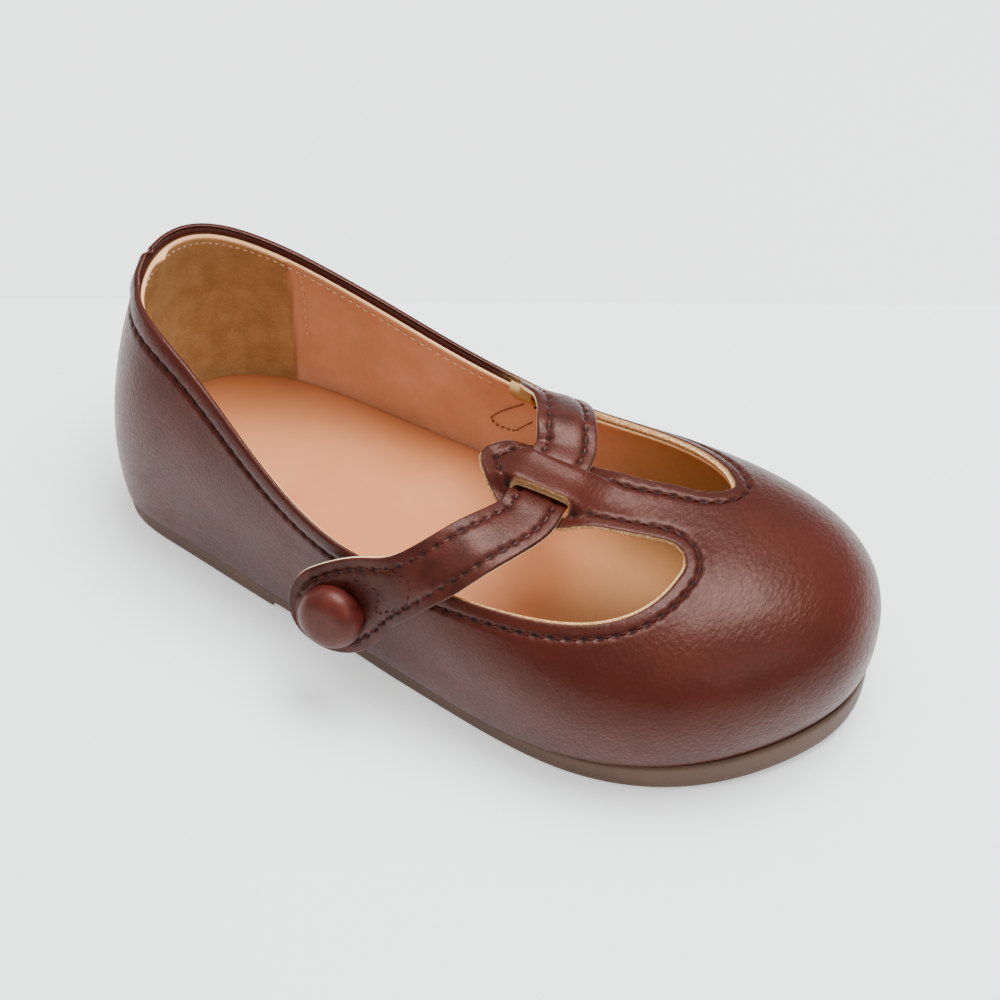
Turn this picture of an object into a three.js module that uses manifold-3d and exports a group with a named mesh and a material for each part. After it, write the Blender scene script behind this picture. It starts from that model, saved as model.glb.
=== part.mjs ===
// A child's T-bar mary jane, the right shoe: a one-piece leather upper on a flat rubber unit sole,
// a strap threaded through the slits of the T-bar's tab, and a covered button on the strap's end.
// Millimetres. X runs from heel to toe, Y to the inner side of the foot, Z up from the floor.
import * as THREE from 'three';
import { mergeVertices } from 'three/addons/utils/BufferGeometryUtils.js';
import Module from 'manifold-3d';

const wasm = await Module();
wasm.setup();

// Driving sizes of the last, the form that the upper is drawn over
const LENGTH = 165;
const BALL_WIDTH = 67.6;
const HEEL_WIDTH = 46.7;
const BACK_HEIGHT = 58;
const INSTEP_HEIGHT = 45.5;
const TOE_HEIGHT = 38.2;
const HEEL_TOP_INSET = 20;
const TOE_CAP_LENGTH = 37;
const RIDGE_RUN = LENGTH - TOE_CAP_LENGTH - HEEL_TOP_INSET;

// Driving sizes of the pieces
const WALL = 2.2;
const EDGE_BAND_WIDTH = 4.2;
const EDGE_BAND_RISE = 0.5;
const GAP = 0.3;
const INSOLE_THICKNESS = 3.6;
const INSOLE_INSET = 0.5;
const HEEL_SEAT = 5.6;
const FOREFOOT_SEAT = 5.4;
const TOE_SEAT = 9.6;
const SOLE_LIP = 0.8;
const SOLE_EDGE_BEVEL = 0.7;
const HEEL_LENGTH = 47;
const BREAST_SETBACK = 0.4;
const ARCH_LIFT = 1.5;
const TOE_SPRING = 1.8;
const BAR_WIDTH = 14.6;
const BAR_FILLET = 6;
const BAR_PROUD = 0.12;
const TAB_LENGTH = 26;
const TAB_WIDTH = 18.6;
const SLIT_SPACING = 10;
const SLIT_LENGTH = 14.8;
const SLIT_WIDTH = 3.6;
const TAB_BUCKLE = 2.8;
const BUCKLE_FLAT = 7.4;
const BUCKLE_FADE = 6;
const BUCKLE_TURN = 1;
const STRAP_WIDTH = 12.4;
const STRAP_THICKNESS = 1.6;
const STRAP_END_WIDTH = 20.6;
const STRAP_CLEARANCE = 0.7;
const STRAP_SLANT = 0.07;
const UNDER_BRIDGE = 0.4;
const BUTTON_DIAMETER = 13.8;
const BUTTON_HEIGHT = 5.6;
const BUTTON_RIM = 1.6;
const BUTTON_CLEARANCE = 0.6;

// How finely the faces follow the last
const TURN_STEPS = 80;
const CLIMB_STEPS = 12;
const BAR_STEPS = 34;
const STRAP_STEPS = 64;
const BUTTON_STEPS = 32;

// The seam of upper and sole seen from above. Turn goes round from the heel, 180 at the toe, the
// outer side first; ball and heel are shares of the two widths.
const OUTLINE = [
  { turn: 0, heel: 0, ball: 0 },
  { turn: 22, heel: -0.404, ball: 0 },
  { turn: 42, heel: -0.527, ball: 0 },
  { turn: 65, heel: 0, ball: -0.435 },
  { turn: 92, heel: 0, ball: -0.526 },
  { turn: 118, heel: 0, ball: -0.577 },
  { turn: 140, heel: 0, ball: -0.445 },
  { turn: 160, heel: 0, ball: -0.22 },
  { turn: 180, heel: 0, ball: 0 },
  { turn: 200, heel: 0, ball: 0.24 },
  { turn: 220, heel: 0, ball: 0.388 },
  { turn: 242, heel: 0, ball: 0.422 },
  { turn: 268, heel: 0, ball: 0.344 },
  { turn: 295, heel: 0, ball: 0.334 },
  { turn: 318, heel: 0.473, ball: 0 },
  { turn: 338, heel: 0.327, ball: 0 },
];

// The walls. Round is 2 for an elliptic side and more for a squarer one; tuck is how far below the
// widest girth the wall turns under to the seam, in degrees.
const WALLS = [
  { turn: 0, round: 2.4, tuck: 14 },
  { turn: 22, round: 2, tuck: 14.5 },
  { turn: 42, round: 2.45, tuck: 15 },
  { turn: 65, round: 2.45, tuck: 15.5 },
  { turn: 92, round: 2.6, tuck: 17.5 },
  { turn: 118, round: 2.35, tuck: 17.5 },
  { turn: 140, round: 2.4, tuck: 17.5 },
  { turn: 180, round: 2.4, tuck: 19 },
  { turn: 220, round: 2.35, tuck: 17.5 },
  { turn: 242, round: 2.3, tuck: 17.5 },
  { turn: 268, round: 2.35, tuck: 17 },
  { turn: 295, round: 2.6, tuck: 15.5 },
  { turn: 318, round: 2.55, tuck: 15 },
  { turn: 338, round: 2.55, tuck: 14.5 },
];

// The ridge of the last from the heel's top to the toe cap: its height in shares of three heights.
const RIDGE = [
  { along: 0, back: 1.2, instep: 0, toe: 0 },
  { along: 0.2, back: 1.035, instep: 0, toe: 0 },
  { along: 0.4, back: 0, instep: 1.2, toe: 0 },
  { along: 0.55, back: 0, instep: 1, toe: 0 },
  { along: 0.7, back: 0, instep: 0, toe: 1.1 },
  { along: 0.85, back: 0, instep: 0, toe: 1.037 },
  { along: 1, back: 0, instep: 0, toe: 1 },
];

// The seat, where the upper meets the sole, along the length.
const SEAT = [
  { along: 0, heel: 0.95, forefoot: 0, toe: 0 },
  { along: 0.25, heel: 1.1, forefoot: 0, toe: 0 },
  { along: 0.45, heel: 0, forefoot: 1, toe: 0 },
  { along: 0.68, heel: 0, forefoot: 1, toe: 0 },
  { along: 0.85, heel: 0, forefoot: 0, toe: 0.79 },
  { along: 1, heel: 0, forefoot: 0, toe: 1 },
];

// The edge of the opening: how far the wall climbs from its widest girth, 90 degrees at the ridge.
const EDGE = [
  { turn: 0, climb: 45.2 },
  { turn: 12, climb: 46.4 },
  { turn: 24, climb: 49 },
  { turn: 36, climb: 48 },
  { turn: 50, climb: 41.5 },
  { turn: 65, climb: 28 },
  { turn: 80, climb: 19 },
  { turn: 95, climb: 30 },
  { turn: 107, climb: 39 },
  { turn: 121, climb: 47 },
  { turn: 129, climb: 53 },
  { turn: 136, climb: 60 },
  { turn: 143, climb: 68 },
  { turn: 150, climb: 75 },
  { turn: 164, climb: 82 },
  { turn: 180, climb: 84 },
  { turn: 196, climb: 80 },
  { turn: 208, climb: 71.5 },
  { turn: 219, climb: 62.5 },
  { turn: 228, climb: 54.5 },
  { turn: 240, climb: 47 },
  { turn: 252, climb: 42 },
  { turn: 265, climb: 35 },
  { turn: 280, climb: 26.5 },
  { turn: 295, climb: 30.5 },
  { turn: 310, climb: 39 },
  { turn: 324, climb: 43.6 },
  { turn: 336, climb: 46 },
  { turn: 348, climb: 46 },
];

// The T-bar's middle line from the tab's tip to the vamp: along is a share of the length, aside a
// share of the ball width.
const BAR = [
  { along: 0.516, aside: -0.105 },
  { along: 0.6, aside: -0.1 },
  { along: 0.68, aside: -0.068 },
  { along: 0.73, aside: -0.03 },
  { along: 0.79, aside: 0.006 },
  { along: 0.86, aside: 0.02 },
];

// Half the tab's outline: along is a share of its length from the tip, half a share of its width.
const TAB = [
  { along: 0, half: 0.07 },
  { along: 0.05, half: 0.155 },
  { along: 0.13, half: 0.26 },
  { along: 0.24, half: 0.385 },
  { along: 0.36, half: 0.47 },
  { along: 0.5, half: 0.5 },
  { along: 0.7, half: 0.49 },
];

// The strap's middle line from the button end over the tab to the inner side: turn and climb place
// it on the last, off is its distance from the upper's outer face, in strap thicknesses.
const STRAP = [
  { turn: 77, climb: -4, off: 5.4 },
  { turn: 82.5, climb: 3.2, off: 2.6 },
  { turn: 86.3, climb: 12, off: 1.4 },
  { turn: 90.6, climb: 22, off: 1.2 },
  { turn: 95.6, climb: 37.5, off: 1.1 },
  { turn: 101.8, climb: 56, off: 0.95 },
];
const STRAP_BACK = [
  { turn: 253, climb: 70, off: 0.6 },
  { turn: 258, climb: 59, off: 0.1 },
  { turn: 262.5, climb: 49, off: -1.4 },
  { turn: 265.5, climb: 39, off: -2.45 },
  { turn: 268, climb: 28, off: -2.5 },
  { turn: 270, climb: 16, off: -2.3 },
];

// The smooth cubic through rows of numbers, closed on itself where a period is given.
function cubicThrough(at, values, period = 0) {
  const last = at.length - 1;
  const size = at.length;
  const step = (i) => (i === last ? at[0] + period - at[last] : at[i + 1] - at[i]);
  const matrix = at.map(() => new Array(size + 1).fill(0));
  for (let i = 0; i < size; i += 1) {
    if (period === 0 && (i === 0 || i === last)) {
      matrix[i][i] = 1;
      continue;
    }
    const before = (i + size - 1) % size;
    const after = (i + 1) % size;
    matrix[i][before] += step(before);
    matrix[i][i] += 2 * (step(before) + step(i));
    matrix[i][after] += step(i);
    const rise = (values[after] - values[i]) / step(i);
    const fall = (values[i] - values[before]) / step(before);
    matrix[i][size] = 6 * (rise - fall);
  }
  const bend = solveRows(matrix);
  return (place) => {
    const x = period ? at[0] + (((place - at[0]) % period) + period) % period : place;
    let i = 0;
    while (i < last - (period ? 0 : 1) && x >= at[i + 1]) i += 1;
    const after = (i + 1) % size;
    const width = step(i);
    const done = x - at[i];
    const left = width - done;
    const curved = (bend[i] * left ** 3 + bend[after] * done ** 3) / (6 * width);
    const low = (values[i] / width - (bend[i] * width) / 6) * left;
    return curved + low + (values[after] / width - (bend[after] * width) / 6) * done;
  };
}

function solveRows(matrix) {
  const size = matrix.length;
  for (let i = 0; i < size; i += 1) {
    for (let j = i + 1; j < size; j += 1) {
      const share = matrix[j][i] / matrix[i][i];
      for (let k = i; k <= size; k += 1) matrix[j][k] -= share * matrix[i][k];
    }
  }
  const found = new Array(size).fill(0);
  for (let i = size - 1; i >= 0; i -= 1) {
    let sum = matrix[i][size];
    for (let k = i + 1; k < size; k += 1) sum -= matrix[i][k] * found[k];
    found[i] = sum / matrix[i][i];
  }
  return found;
}

const column = (rows, name) => rows.map((row) => row[name]);
const aroundTurn = (rows, value) => cubicThrough(column(rows, 'turn'), rows.map(value), 360);
const radians = THREE.MathUtils.degToRad;
const clamp = THREE.MathUtils.clamp;

const breadthAt = aroundTurn(OUTLINE, (row) => row.heel * HEEL_WIDTH + row.ball * BALL_WIDTH);
const roundAt = aroundTurn(WALLS, (row) => row.round);
const tuckAt = aroundTurn(WALLS, (row) => row.tuck);
const edgeClimbAt = aroundTurn(EDGE, (row) => row.climb);
const ridgeHeightAt = cubicThrough(
  column(RIDGE, 'along'),
  RIDGE.map((row) => row.back * BACK_HEIGHT + row.instep * INSTEP_HEIGHT + row.toe * TOE_HEIGHT),
);
const seatHeightAt = cubicThrough(
  column(SEAT, 'along'),
  SEAT.map((row) => row.heel * HEEL_SEAT + row.forefoot * FOREFOOT_SEAT + row.toe * TOE_SEAT),
);

// The seam's place at a turn, pushed outwards by grow
function seamAt(turn, grow) {
  const along = (LENGTH / 2) * (1 - Math.cos(radians(turn)));
  const nudge = 0.5;
  const ahead = (LENGTH / 2) * (Math.cos(radians(turn - nudge)) - Math.cos(radians(turn + nudge)));
  const aside = breadthAt(turn + nudge) - breadthAt(turn - nudge);
  const length = Math.hypot(ahead, aside);
  return { x: along + (grow * aside) / length, y: breadthAt(turn) - (grow * ahead) / length };
}

const seatAt = (x) => seatHeightAt(clamp(x / LENGTH, 0, 1));

// The ridge's place at a share of its run from heel to toe cap
function ridgeAt(share, grow) {
  const x = HEEL_TOP_INSET + RIDGE_RUN * share;
  const turn = THREE.MathUtils.radToDeg(Math.acos(clamp(1 - (2 * x) / LENGTH, -1, 1)));
  const y = (breadthAt(turn) + breadthAt(-turn)) / 2;
  return { x, y, z: ridgeHeightAt(share) + grow };
}

// A point of the section at a turn: reach is 1 at the seam's breadth and 0 on the ridge, lift runs
// from the seat to 1 on the ridge.
function sectionPoint(turn, reach, lift, grow) {
  const seam = seamAt(turn, grow);
  const ridge = ridgeAt((1 - Math.cos(radians(turn))) / 2, grow);
  const under = Math.sin(radians(tuckAt(turn))) ** (2 / roundAt(turn));
  const girth = (seatAt(seam.x) + ridge.z * under) / (1 + under);
  return new THREE.Vector3(
    ridge.x + (seam.x - ridge.x) * reach,
    ridge.y + (seam.y - ridge.y) * reach,
    girth + (ridge.z - girth) * lift,
  );
}

function lastPoint(turn, climb, grow) {
  const power = 2 / roundAt(turn);
  const level = radians(climb);
  const widest = Math.cos(radians(tuckAt(turn))) ** power;
  const reach = climb >= 90 ? 0 : Math.cos(level) ** power / widest;
  const lift = Math.sign(Math.sin(level)) * Math.abs(Math.sin(level)) ** power;
  return sectionPoint(turn, reach, lift, grow);
}

function lastNormal(turn, climb) {
  const nudge = 0.4;
  const ahead = lastPoint(turn + nudge, climb, 0).sub(lastPoint(turn - nudge, climb, 0));
  const high = Math.min(climb, 90 - 2 * nudge);
  const up = lastPoint(turn, high + nudge, 0).sub(lastPoint(turn, high - nudge, 0));
  return ahead.cross(up).normalize();
}

// The line between the two sides seen from above: the ridge, then straight on to the toe's tip
function middleAt(x) {
  const share = (x - HEEL_TOP_INSET) / RIDGE_RUN;
  if (share <= 1) return ridgeAt(Math.max(share, 0), 0).y;
  const end = ridgeAt(1, 0);
  return THREE.MathUtils.mapLinear(x, end.x, LENGTH, end.y, breadthAt(180));
}

// The height of the last's top face over a place in plan
function heightOver(x, y, grow) {
  const outer = y < middleAt(x);
  let low = 0;
  let high = 180;
  let seam;
  let ridge;
  for (let step = 0; step < 28; step += 1) {
    const half = (low + high) / 2;
    seam = seamAt(outer ? half : 360 - half, grow);
    ridge = ridgeAt((1 - Math.cos(radians(half))) / 2, grow);
    const turned = (seam.x - ridge.x) * (y - ridge.y) - (seam.y - ridge.y) * (x - ridge.x);
    if (outer === turned > 0) low = half;
    else high = half;
  }
  const turn = outer ? low : 360 - low;
  const spoke = Math.hypot(seam.x - ridge.x, seam.y - ridge.y);
  const reach = Math.min(Math.hypot(x - ridge.x, y - ridge.y) / spoke, 1);
  const round = roundAt(turn);
  const widest = Math.cos(radians(tuckAt(turn))) ** (2 / round);
  const lift = Math.max(1 - (reach * widest) ** round, 0) ** (1 / round);
  return sectionPoint(turn, reach, lift, grow).z;
}

// A closed body through rings of points, heel first and the outer side first, from the lowest ring
// up. Rungs from side to side close the two ends.
function bodyOfRings(rings) {
  const steps = rings[0].length;
  const points = rings.flat();
  const faces = [];
  const at = (ring, i) => ring * steps + ((i + steps) % steps);
  for (let ring = 0; ring + 1 < rings.length; ring += 1) {
    for (let i = 0; i < steps; i += 1) {
      faces.push([at(ring, i), at(ring, i + 1), at(ring + 1, i + 1)]);
      faces.push([at(ring, i), at(ring + 1, i + 1), at(ring + 1, i)]);
    }
  }
  const top = rings.length - 1;
  for (let i = 0; i < steps / 2; i += 1) {
    faces.push([at(0, i), at(0, -i), at(0, -i - 1)]);
    faces.push([at(0, i), at(0, -i - 1), at(0, i + 1)]);
    faces.push([at(top, i), at(top, -i - 1), at(top, -i)]);
    faces.push([at(top, i), at(top, i + 1), at(top, -i - 1)]);
  }
  return solidFrom(points, faces);
}

// A closed body through rows of four-sided sections, corners in turn, with flat ends
function bodyOfSections(rows) {
  const sides = rows[0].length;
  const points = rows.flat();
  const faces = [];
  for (let row = 0; row + 1 < rows.length; row += 1) {
    for (let i = 0; i < sides; i += 1) {
      const next = (i + 1) % sides;
      faces.push([row * sides + i, row * sides + next, (row + 1) * sides + next]);
      faces.push([row * sides + i, (row + 1) * sides + next, (row + 1) * sides + i]);
    }
  }
  const end = (rows.length - 1) * sides;
  for (let i = 1; i + 1 < sides - i; i += 1) {
    const other = sides - i;
    faces.push([i - 1, other % sides, i]);
    faces.push([other % sides, other - 1, i]);
    faces.push([end + i - 1, end + i, end + (other % sides)]);
    faces.push([end + (other % sides), end + i, end + other - 1]);
  }
  return solidFrom(points, faces);
}

function geometryOf(points, faces) {
  const geometry = new THREE.BufferGeometry().setFromPoints(points);
  geometry.setIndex(faces.flat());
  return geometry;
}

function solidFrom(points, faces) {
  return solidOf(geometryOf(points, faces));
}

// A solid for joining and cutting, its faces turned outwards
function solidOf(source) {
  const geometry = source.clone();
  geometry.deleteAttribute('normal');
  geometry.deleteAttribute('uv');
  const merged = mergeVertices(geometry, 1e-4);
  const corners = merged.index.array;
  const place = merged.attributes.position;
  const kept = [];
  let volume = 0;
  for (let i = 0; i < corners.length; i += 3) {
    const [a, b, c] = [corners[i], corners[i + 1], corners[i + 2]];
    if (a === b || b === c || c === a) continue;
    kept.push(a, b, c);
    const first = new THREE.Vector3().fromBufferAttribute(place, a);
    const second = new THREE.Vector3().fromBufferAttribute(place, b);
    const third = new THREE.Vector3().fromBufferAttribute(place, c);
    volume += first.dot(second.cross(third));
  }
  if (volume < 0) kept.reverse();
  return new wasm.Manifold(new wasm.Mesh({
    numProp: 3,
    vertProperties: Float32Array.from(place.array),
    triVerts: Uint32Array.from(kept),
  }));
}

function geometryOfSolid(solid) {
  const mesh = solid.getMesh();
  const geometry = new THREE.BufferGeometry();
  geometry.setAttribute('position', new THREE.BufferAttribute(mesh.vertProperties, mesh.numProp));
  geometry.setIndex(new THREE.BufferAttribute(mesh.triVerts, 1));
  geometry.computeVertexNormals();
  return geometry;
}

const turns = Array.from({ length: TURN_STEPS }, (_, i) => (360 * i) / TURN_STEPS);
const ringAt = (climbAt, grow) => turns.map((turn) => lastPoint(turn, climbAt(turn), grow));

// The last itself, grown by a thickness; its foot goes down past the seat by a drop.
function lastBody(grow, drop) {
  const rings = [];
  const seam = ringAt((turn) => -tuckAt(turn), grow);
  if (drop > 0) rings.push(seam.map((point) => point.clone().setZ(point.z - drop)));
  for (let step = 0; step <= CLIMB_STEPS; step += 1) {
    const share = step / CLIMB_STEPS;
    rings.push(ringAt((turn) => -tuckAt(turn) + (90 + tuckAt(turn)) * share, grow));
  }
  return bodyOfRings(rings);
}

// Everything above the edge of the opening, cut square to the leather, lowered by a band's width
function aboveEdge(lower) {
  const reach = 2.5 * WALL;
  const edge = turns.map((turn) => {
    const climb = edgeClimbAt(turn);
    const perDegree = lastPoint(turn, climb + 0.5, 0).distanceTo(lastPoint(turn, climb - 0.5, 0));
    const lowered = climb - lower / perDegree;
    return { point: lastPoint(turn, lowered, 0), normal: lastNormal(turn, lowered) };
  });
  const inside = edge.map(({ point, normal }) => point.clone().addScaledVector(normal, -reach));
  const outside = edge.map(({ point, normal }) => point.clone().addScaledVector(normal, 2 * reach));
  const above = outside.map((point) => point.clone().setZ(2 * BACK_HEIGHT));
  return bodyOfRings([inside, outside, above]);
}

// The T-bar: its middle line, its half width and the way its tab buckles where the strap runs
const barAside = cubicThrough(column(BAR, 'along'), BAR.map((row) => row.aside * BALL_WIDTH));
const tabHalf = cubicThrough(column(TAB, 'along'), TAB.map((row) => row.half * TAB_WIDTH));
const barTip = BAR[0].along * LENGTH;
const barRoot = 0.8 * LENGTH;
const filletStart = barRoot - BAR_FILLET;
const strapCross = barTip + 0.56 * TAB_LENGTH;

function barHalfWidth(x) {
  const share = (x - barTip) / TAB_LENGTH;
  const tabEnd = TAB[TAB.length - 1].along;
  const into = clamp((x - filletStart) / BAR_FILLET, 0, 1);
  const fillet = BAR_FILLET * (1 - Math.sqrt(1 - into * into));
  if (share < tabEnd) return tabHalf(share);
  const blend = THREE.MathUtils.smoothstep(share, tabEnd, 1.15);
  return THREE.MathUtils.lerp(tabHalf(tabEnd), BAR_WIDTH / 2, blend) + fillet;
}

function barBuckle(x, across) {
  const away = Math.abs(x - strapCross);
  const fade = 1 - THREE.MathUtils.smoothstep(away, BUCKLE_FLAT, BUCKLE_FLAT + BUCKLE_FADE);
  const slit = SLIT_SPACING / 2;
  const apart = Math.abs(across);
  const under = THREE.MathUtils.smoothstep(apart, slit - BUCKLE_TURN, slit + BUCKLE_TURN);
  return TAB_BUCKLE * fade * (1 - 2 * under);
}

// A point of the bar's face: x along the shoe, across from the bar's middle line
function barPoint(x, across, grow) {
  const y = barAside(x / LENGTH) + across;
  return new THREE.Vector3(x, y, heightOver(x, y, grow) + barBuckle(x, across));
}

function barBody() {
  const edges = [SLIT_SPACING / 2 - 0.36 * SLIT_WIDTH, SLIT_SPACING / 2 + 0.36 * SLIT_WIDTH];
  const side = [edges[0] / 2, ...edges, TAB_WIDTH / 2];
  const columns = [...side.map((place) => -place).reverse(), 0, ...side];
  const rootEnd = barRoot + 0.3 * BAR_WIDTH;
  const rows = [];
  for (let step = 0; step <= BAR_STEPS; step += 1) {
    const share = step / BAR_STEPS;
    const x = barTip + (rootEnd - barTip) * share ** 1.25;
    const half = barHalfWidth(Math.min(x, barRoot - 0.02 * BAR_FILLET));
    const across = columns.map((place) => (place * half) / (TAB_WIDTH / 2));
    const top = across.map((place) => barPoint(x, place, WALL + BAR_PROUD));
    const bottom = across.map((place) => barPoint(x, place, -BAR_PROUD));
    rows.push([...top, ...bottom.reverse()]);
  }
  return bodyOfSections(rows);
}

// A slit through the tab, as wide as the strap, beside the bar's middle line
function slitBody(side) {
  const half = SLIT_LENGTH / 2;
  const shape = new THREE.Shape();
  const aside = side * (SLIT_SPACING / 2);
  const from = strapCross - half;
  const to = strapCross + half;
  const radius = SLIT_WIDTH / 2;
  const fromAside = barAside(from / LENGTH) + aside;
  const toAside = barAside(to / LENGTH) + aside;
  shape.moveTo(from, fromAside - radius);
  shape.lineTo(to, toAside - radius);
  shape.absarc(to, toAside, radius, -Math.PI / 2, Math.PI / 2, false);
  shape.lineTo(from, fromAside + radius);
  shape.absarc(from, fromAside, radius, Math.PI / 2, (3 * Math.PI) / 2, false);
  const geometry = new THREE.ExtrudeGeometry(shape, {
    depth: 2 * BACK_HEIGHT,
    bevelEnabled: false,
    curveSegments: 6,
  });
  return solidOf(geometry);
}

// The upper: the last's skin, open at the collar, at the two windows and underneath, with its
// turned edge standing proud along the opening, and the T-bar as a tongue of the vamp.
function upperSolid() {
  const inner = lastBody(0, 2 * GAP + WALL);
  const opening = aboveEdge(0);
  const skin = lastBody(WALL, 0).subtract(inner).subtract(opening);
  const bandSkin = lastBody(WALL + EDGE_BAND_RISE, 0).subtract(lastBody(WALL / 2, WALL));
  const band = bandSkin.intersect(aboveEdge(EDGE_BAND_WIDTH)).subtract(opening);
  const bar = barBody().subtract(slitBody(-1)).subtract(slitBody(1));
  return skin.add(band.subtract(barRootBody())).add(bar);
}

// The root of the bar, where the turned edge stops
function barRootBody() {
  const half = BAR_WIDTH / 2 + 0.35 * BAR_FILLET;
  const shape = new THREE.Shape();
  const middle = barAside(barRoot / LENGTH);
  shape.moveTo(barTip, middle - half);
  shape.lineTo(LENGTH, middle - half);
  shape.lineTo(LENGTH, middle + half);
  shape.lineTo(barTip, middle + half);
  return solidOf(new THREE.ExtrudeGeometry(shape, { depth: 2 * BACK_HEIGHT, bevelEnabled: false }));
}

// The insole board and sock: the seam's outline drawn in from the upper, on the sole's seat
function insoleSolid() {
  const outline = turns.map((turn) => seamAt(turn, -INSOLE_INSET));
  const place = (height) => ({ x, y }) => new THREE.Vector3(x, y, seatAt(x) + height);
  return bodyOfRings([outline.map(place(0)), outline.map(place(INSOLE_THICKNESS))]);
}

// The unit sole: rubber, its side straight between a small bevel and a rounded lip, with a low heel,
// a lifted arch and a toe that springs off the floor.
const SOLE_SIDE = [
  { rise: 0, out: -1 },
  { rise: 0.14, out: -0.1 },
  { rise: 0.3, out: 0 },
  { rise: 0.8, out: 0.1 },
  { rise: 0.93, out: -0.1 },
  { rise: 1, out: -0.8 },
];
const SOLE_REACH = [
  { turn: 0, out: -0.9 },
  { turn: 45, out: -0.8 },
  { turn: 80, out: -0.7 },
  { turn: 110, out: -0.5 },
  { turn: 140, out: 0.7 },
  { turn: 180, out: 1 },
  { turn: 220, out: 0.7 },
  { turn: 250, out: -0.5 },
  { turn: 280, out: -0.7 },
  { turn: 315, out: -0.8 },
];
const soleReachAt = aroundTurn(SOLE_REACH, (row) => row.out * SOLE_LIP);

function undersideAt(x) {
  const archEnd = 0.5 * LENGTH;
  const springStart = 0.7 * LENGTH;
  const spring = Math.max(x - springStart, 0) / (LENGTH - springStart);
  if (x <= HEEL_LENGTH) return 0;
  if (x >= archEnd) return TOE_SPRING * spring ** 2;
  const share = (x - HEEL_LENGTH) / (archEnd - HEEL_LENGTH);
  return ARCH_LIFT * (1 - THREE.MathUtils.smoothstep(share, 0.35, 1));
}

function outsoleSolid() {
  const breast = THREE.MathUtils.radToDeg(Math.acos(1 - (2 * (HEEL_LENGTH + BREAST_SETBACK)) / LENGTH));
  const nearest = (turn) => Math.abs(turn - breast);
  const soleTurns = turns.filter((turn) => turn <= 180 && nearest(turn) > 1.3);
  soleTurns.push(breast - 0.35, breast + 0.35);
  soleTurns.sort((a, b) => a - b);
  const mirrored = soleTurns.filter((turn) => turn > 0 && turn < 180).reverse();
  const loop = [...soleTurns, ...mirrored.map((turn) => 360 - turn)];
  const rings = SOLE_SIDE.map(({ rise, out }) => loop.map((turn) => {
    const half = turn > 180 ? 360 - turn : turn;
    const along = (LENGTH / 2) * (1 - Math.cos(radians(half)));
    const onHeel = along < HEEL_LENGTH + BREAST_SETBACK;
    const bottom = undersideAt(onHeel ? Math.min(along, HEEL_LENGTH) : along);
    const { x, y } = seamAt(turn, WALL + soleReachAt(turn) + out * SOLE_EDGE_BEVEL);
    return new THREE.Vector3(x, y, bottom + rise * (seatAt(x) - GAP - bottom));
  }));
  return bodyOfRings(rings);
}

// The strap: a flat band of leather along its middle line, widening to the round end tab. Each
// place has the middle of the leather's thickness and the way out of its face.
function strapPlaces() {
  const lying = ({ turn, climb, off }) => {
    const normal = lastNormal(turn, climb);
    return { point: lastPoint(turn, climb, WALL + off * STRAP_THICKNESS), normal };
  };
  const clear = GAP + BAR_PROUD + STRAP_THICKNESS / 2;
  const over = clear + STRAP_CLEARANCE;
  const under = -clear - UNDER_BRIDGE;
  const tabSide = TAB_WIDTH / 2 + 1;
  const slitEdge = (SLIT_SPACING + SLIT_WIDTH) / 2 + 0.1;
  const bridgeEdge = (SLIT_SPACING - SLIT_WIDTH) / 2 + 0.4;
  const onBar = (across, face, away) => {
    const x = strapCross - STRAP_SLANT * Math.max(across, 0);
    const point = barPoint(x, across, face);
    const ahead = barPoint(x + 1, across, face).sub(point);
    const normal = new THREE.Vector3().crossVectors(ahead, new THREE.Vector3(0, 1, 0));
    normal.normalize();
    point.addScaledVector(normal, away);
    return { point, normal };
  };
  return [
    ...STRAP.map(lying),
    onBar(-tabSide, WALL, over),
    onBar(-slitEdge, WALL, over),
    onBar(-bridgeEdge, 0, under),
    onBar(0, 0, under),
    onBar(bridgeEdge, 0, under),
    onBar(slitEdge, WALL, over),
    onBar(tabSide, WALL, over),
    ...STRAP_BACK.map(lying),
  ];
}

function strapHalfWidth(fromEnd) {
  const radius = STRAP_END_WIDTH / 2;
  const neck = 2.1 * radius;
  const blend = THREE.MathUtils.smoothstep(fromEnd, radius, neck);
  const straight = THREE.MathUtils.lerp(radius, STRAP_WIDTH / 2, blend);
  if (fromEnd >= radius) return straight;
  return Math.max(Math.sqrt(radius ** 2 - (radius - fromEnd) ** 2), 0.16 * radius);
}

// The strap's frames from its round end: where it is, the ways across it and out of its face, and
// how far it is from the end
function strapFrames() {
  const places = strapPlaces();
  const guides = places.map(({ point, normal }) => point.clone().addScaledVector(normal, 10));
  const path = new THREE.CatmullRomCurve3(places.map(({ point }) => point));
  const guide = new THREE.CatmullRomCurve3(guides);
  const frames = [];
  let fromEnd = 0;
  for (let step = 0; step <= STRAP_STEPS; step += 1) {
    const even = step / STRAP_STEPS;
    const share = even < 0.25 ? 0.25 * (4 * even) ** 1.6 : even;
    const point = path.getPoint(share);
    const along = path.getTangent(share);
    const out = guide.getPoint(share).sub(point);
    const across = new THREE.Vector3().crossVectors(along, out).normalize();
    const normal = new THREE.Vector3().crossVectors(across, along).normalize();
    if (step > 0) fromEnd += point.distanceTo(frames[step - 1].point);
    frames.push({ point, across, normal, fromEnd });
  }
  return frames;
}

function strapSolid(frames) {
  const rows = frames.map(({ point, across, normal, fromEnd }) => {
    const half = strapHalfWidth(fromEnd);
    const corner = (side, face) => point.clone()
      .addScaledVector(across, side * half)
      .addScaledVector(normal, (face * STRAP_THICKNESS) / 2);
    return [corner(-1, -1), corner(1, -1), corner(1, 1), corner(-1, 1)];
  });
  return bodyOfSections(rows);
}

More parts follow.
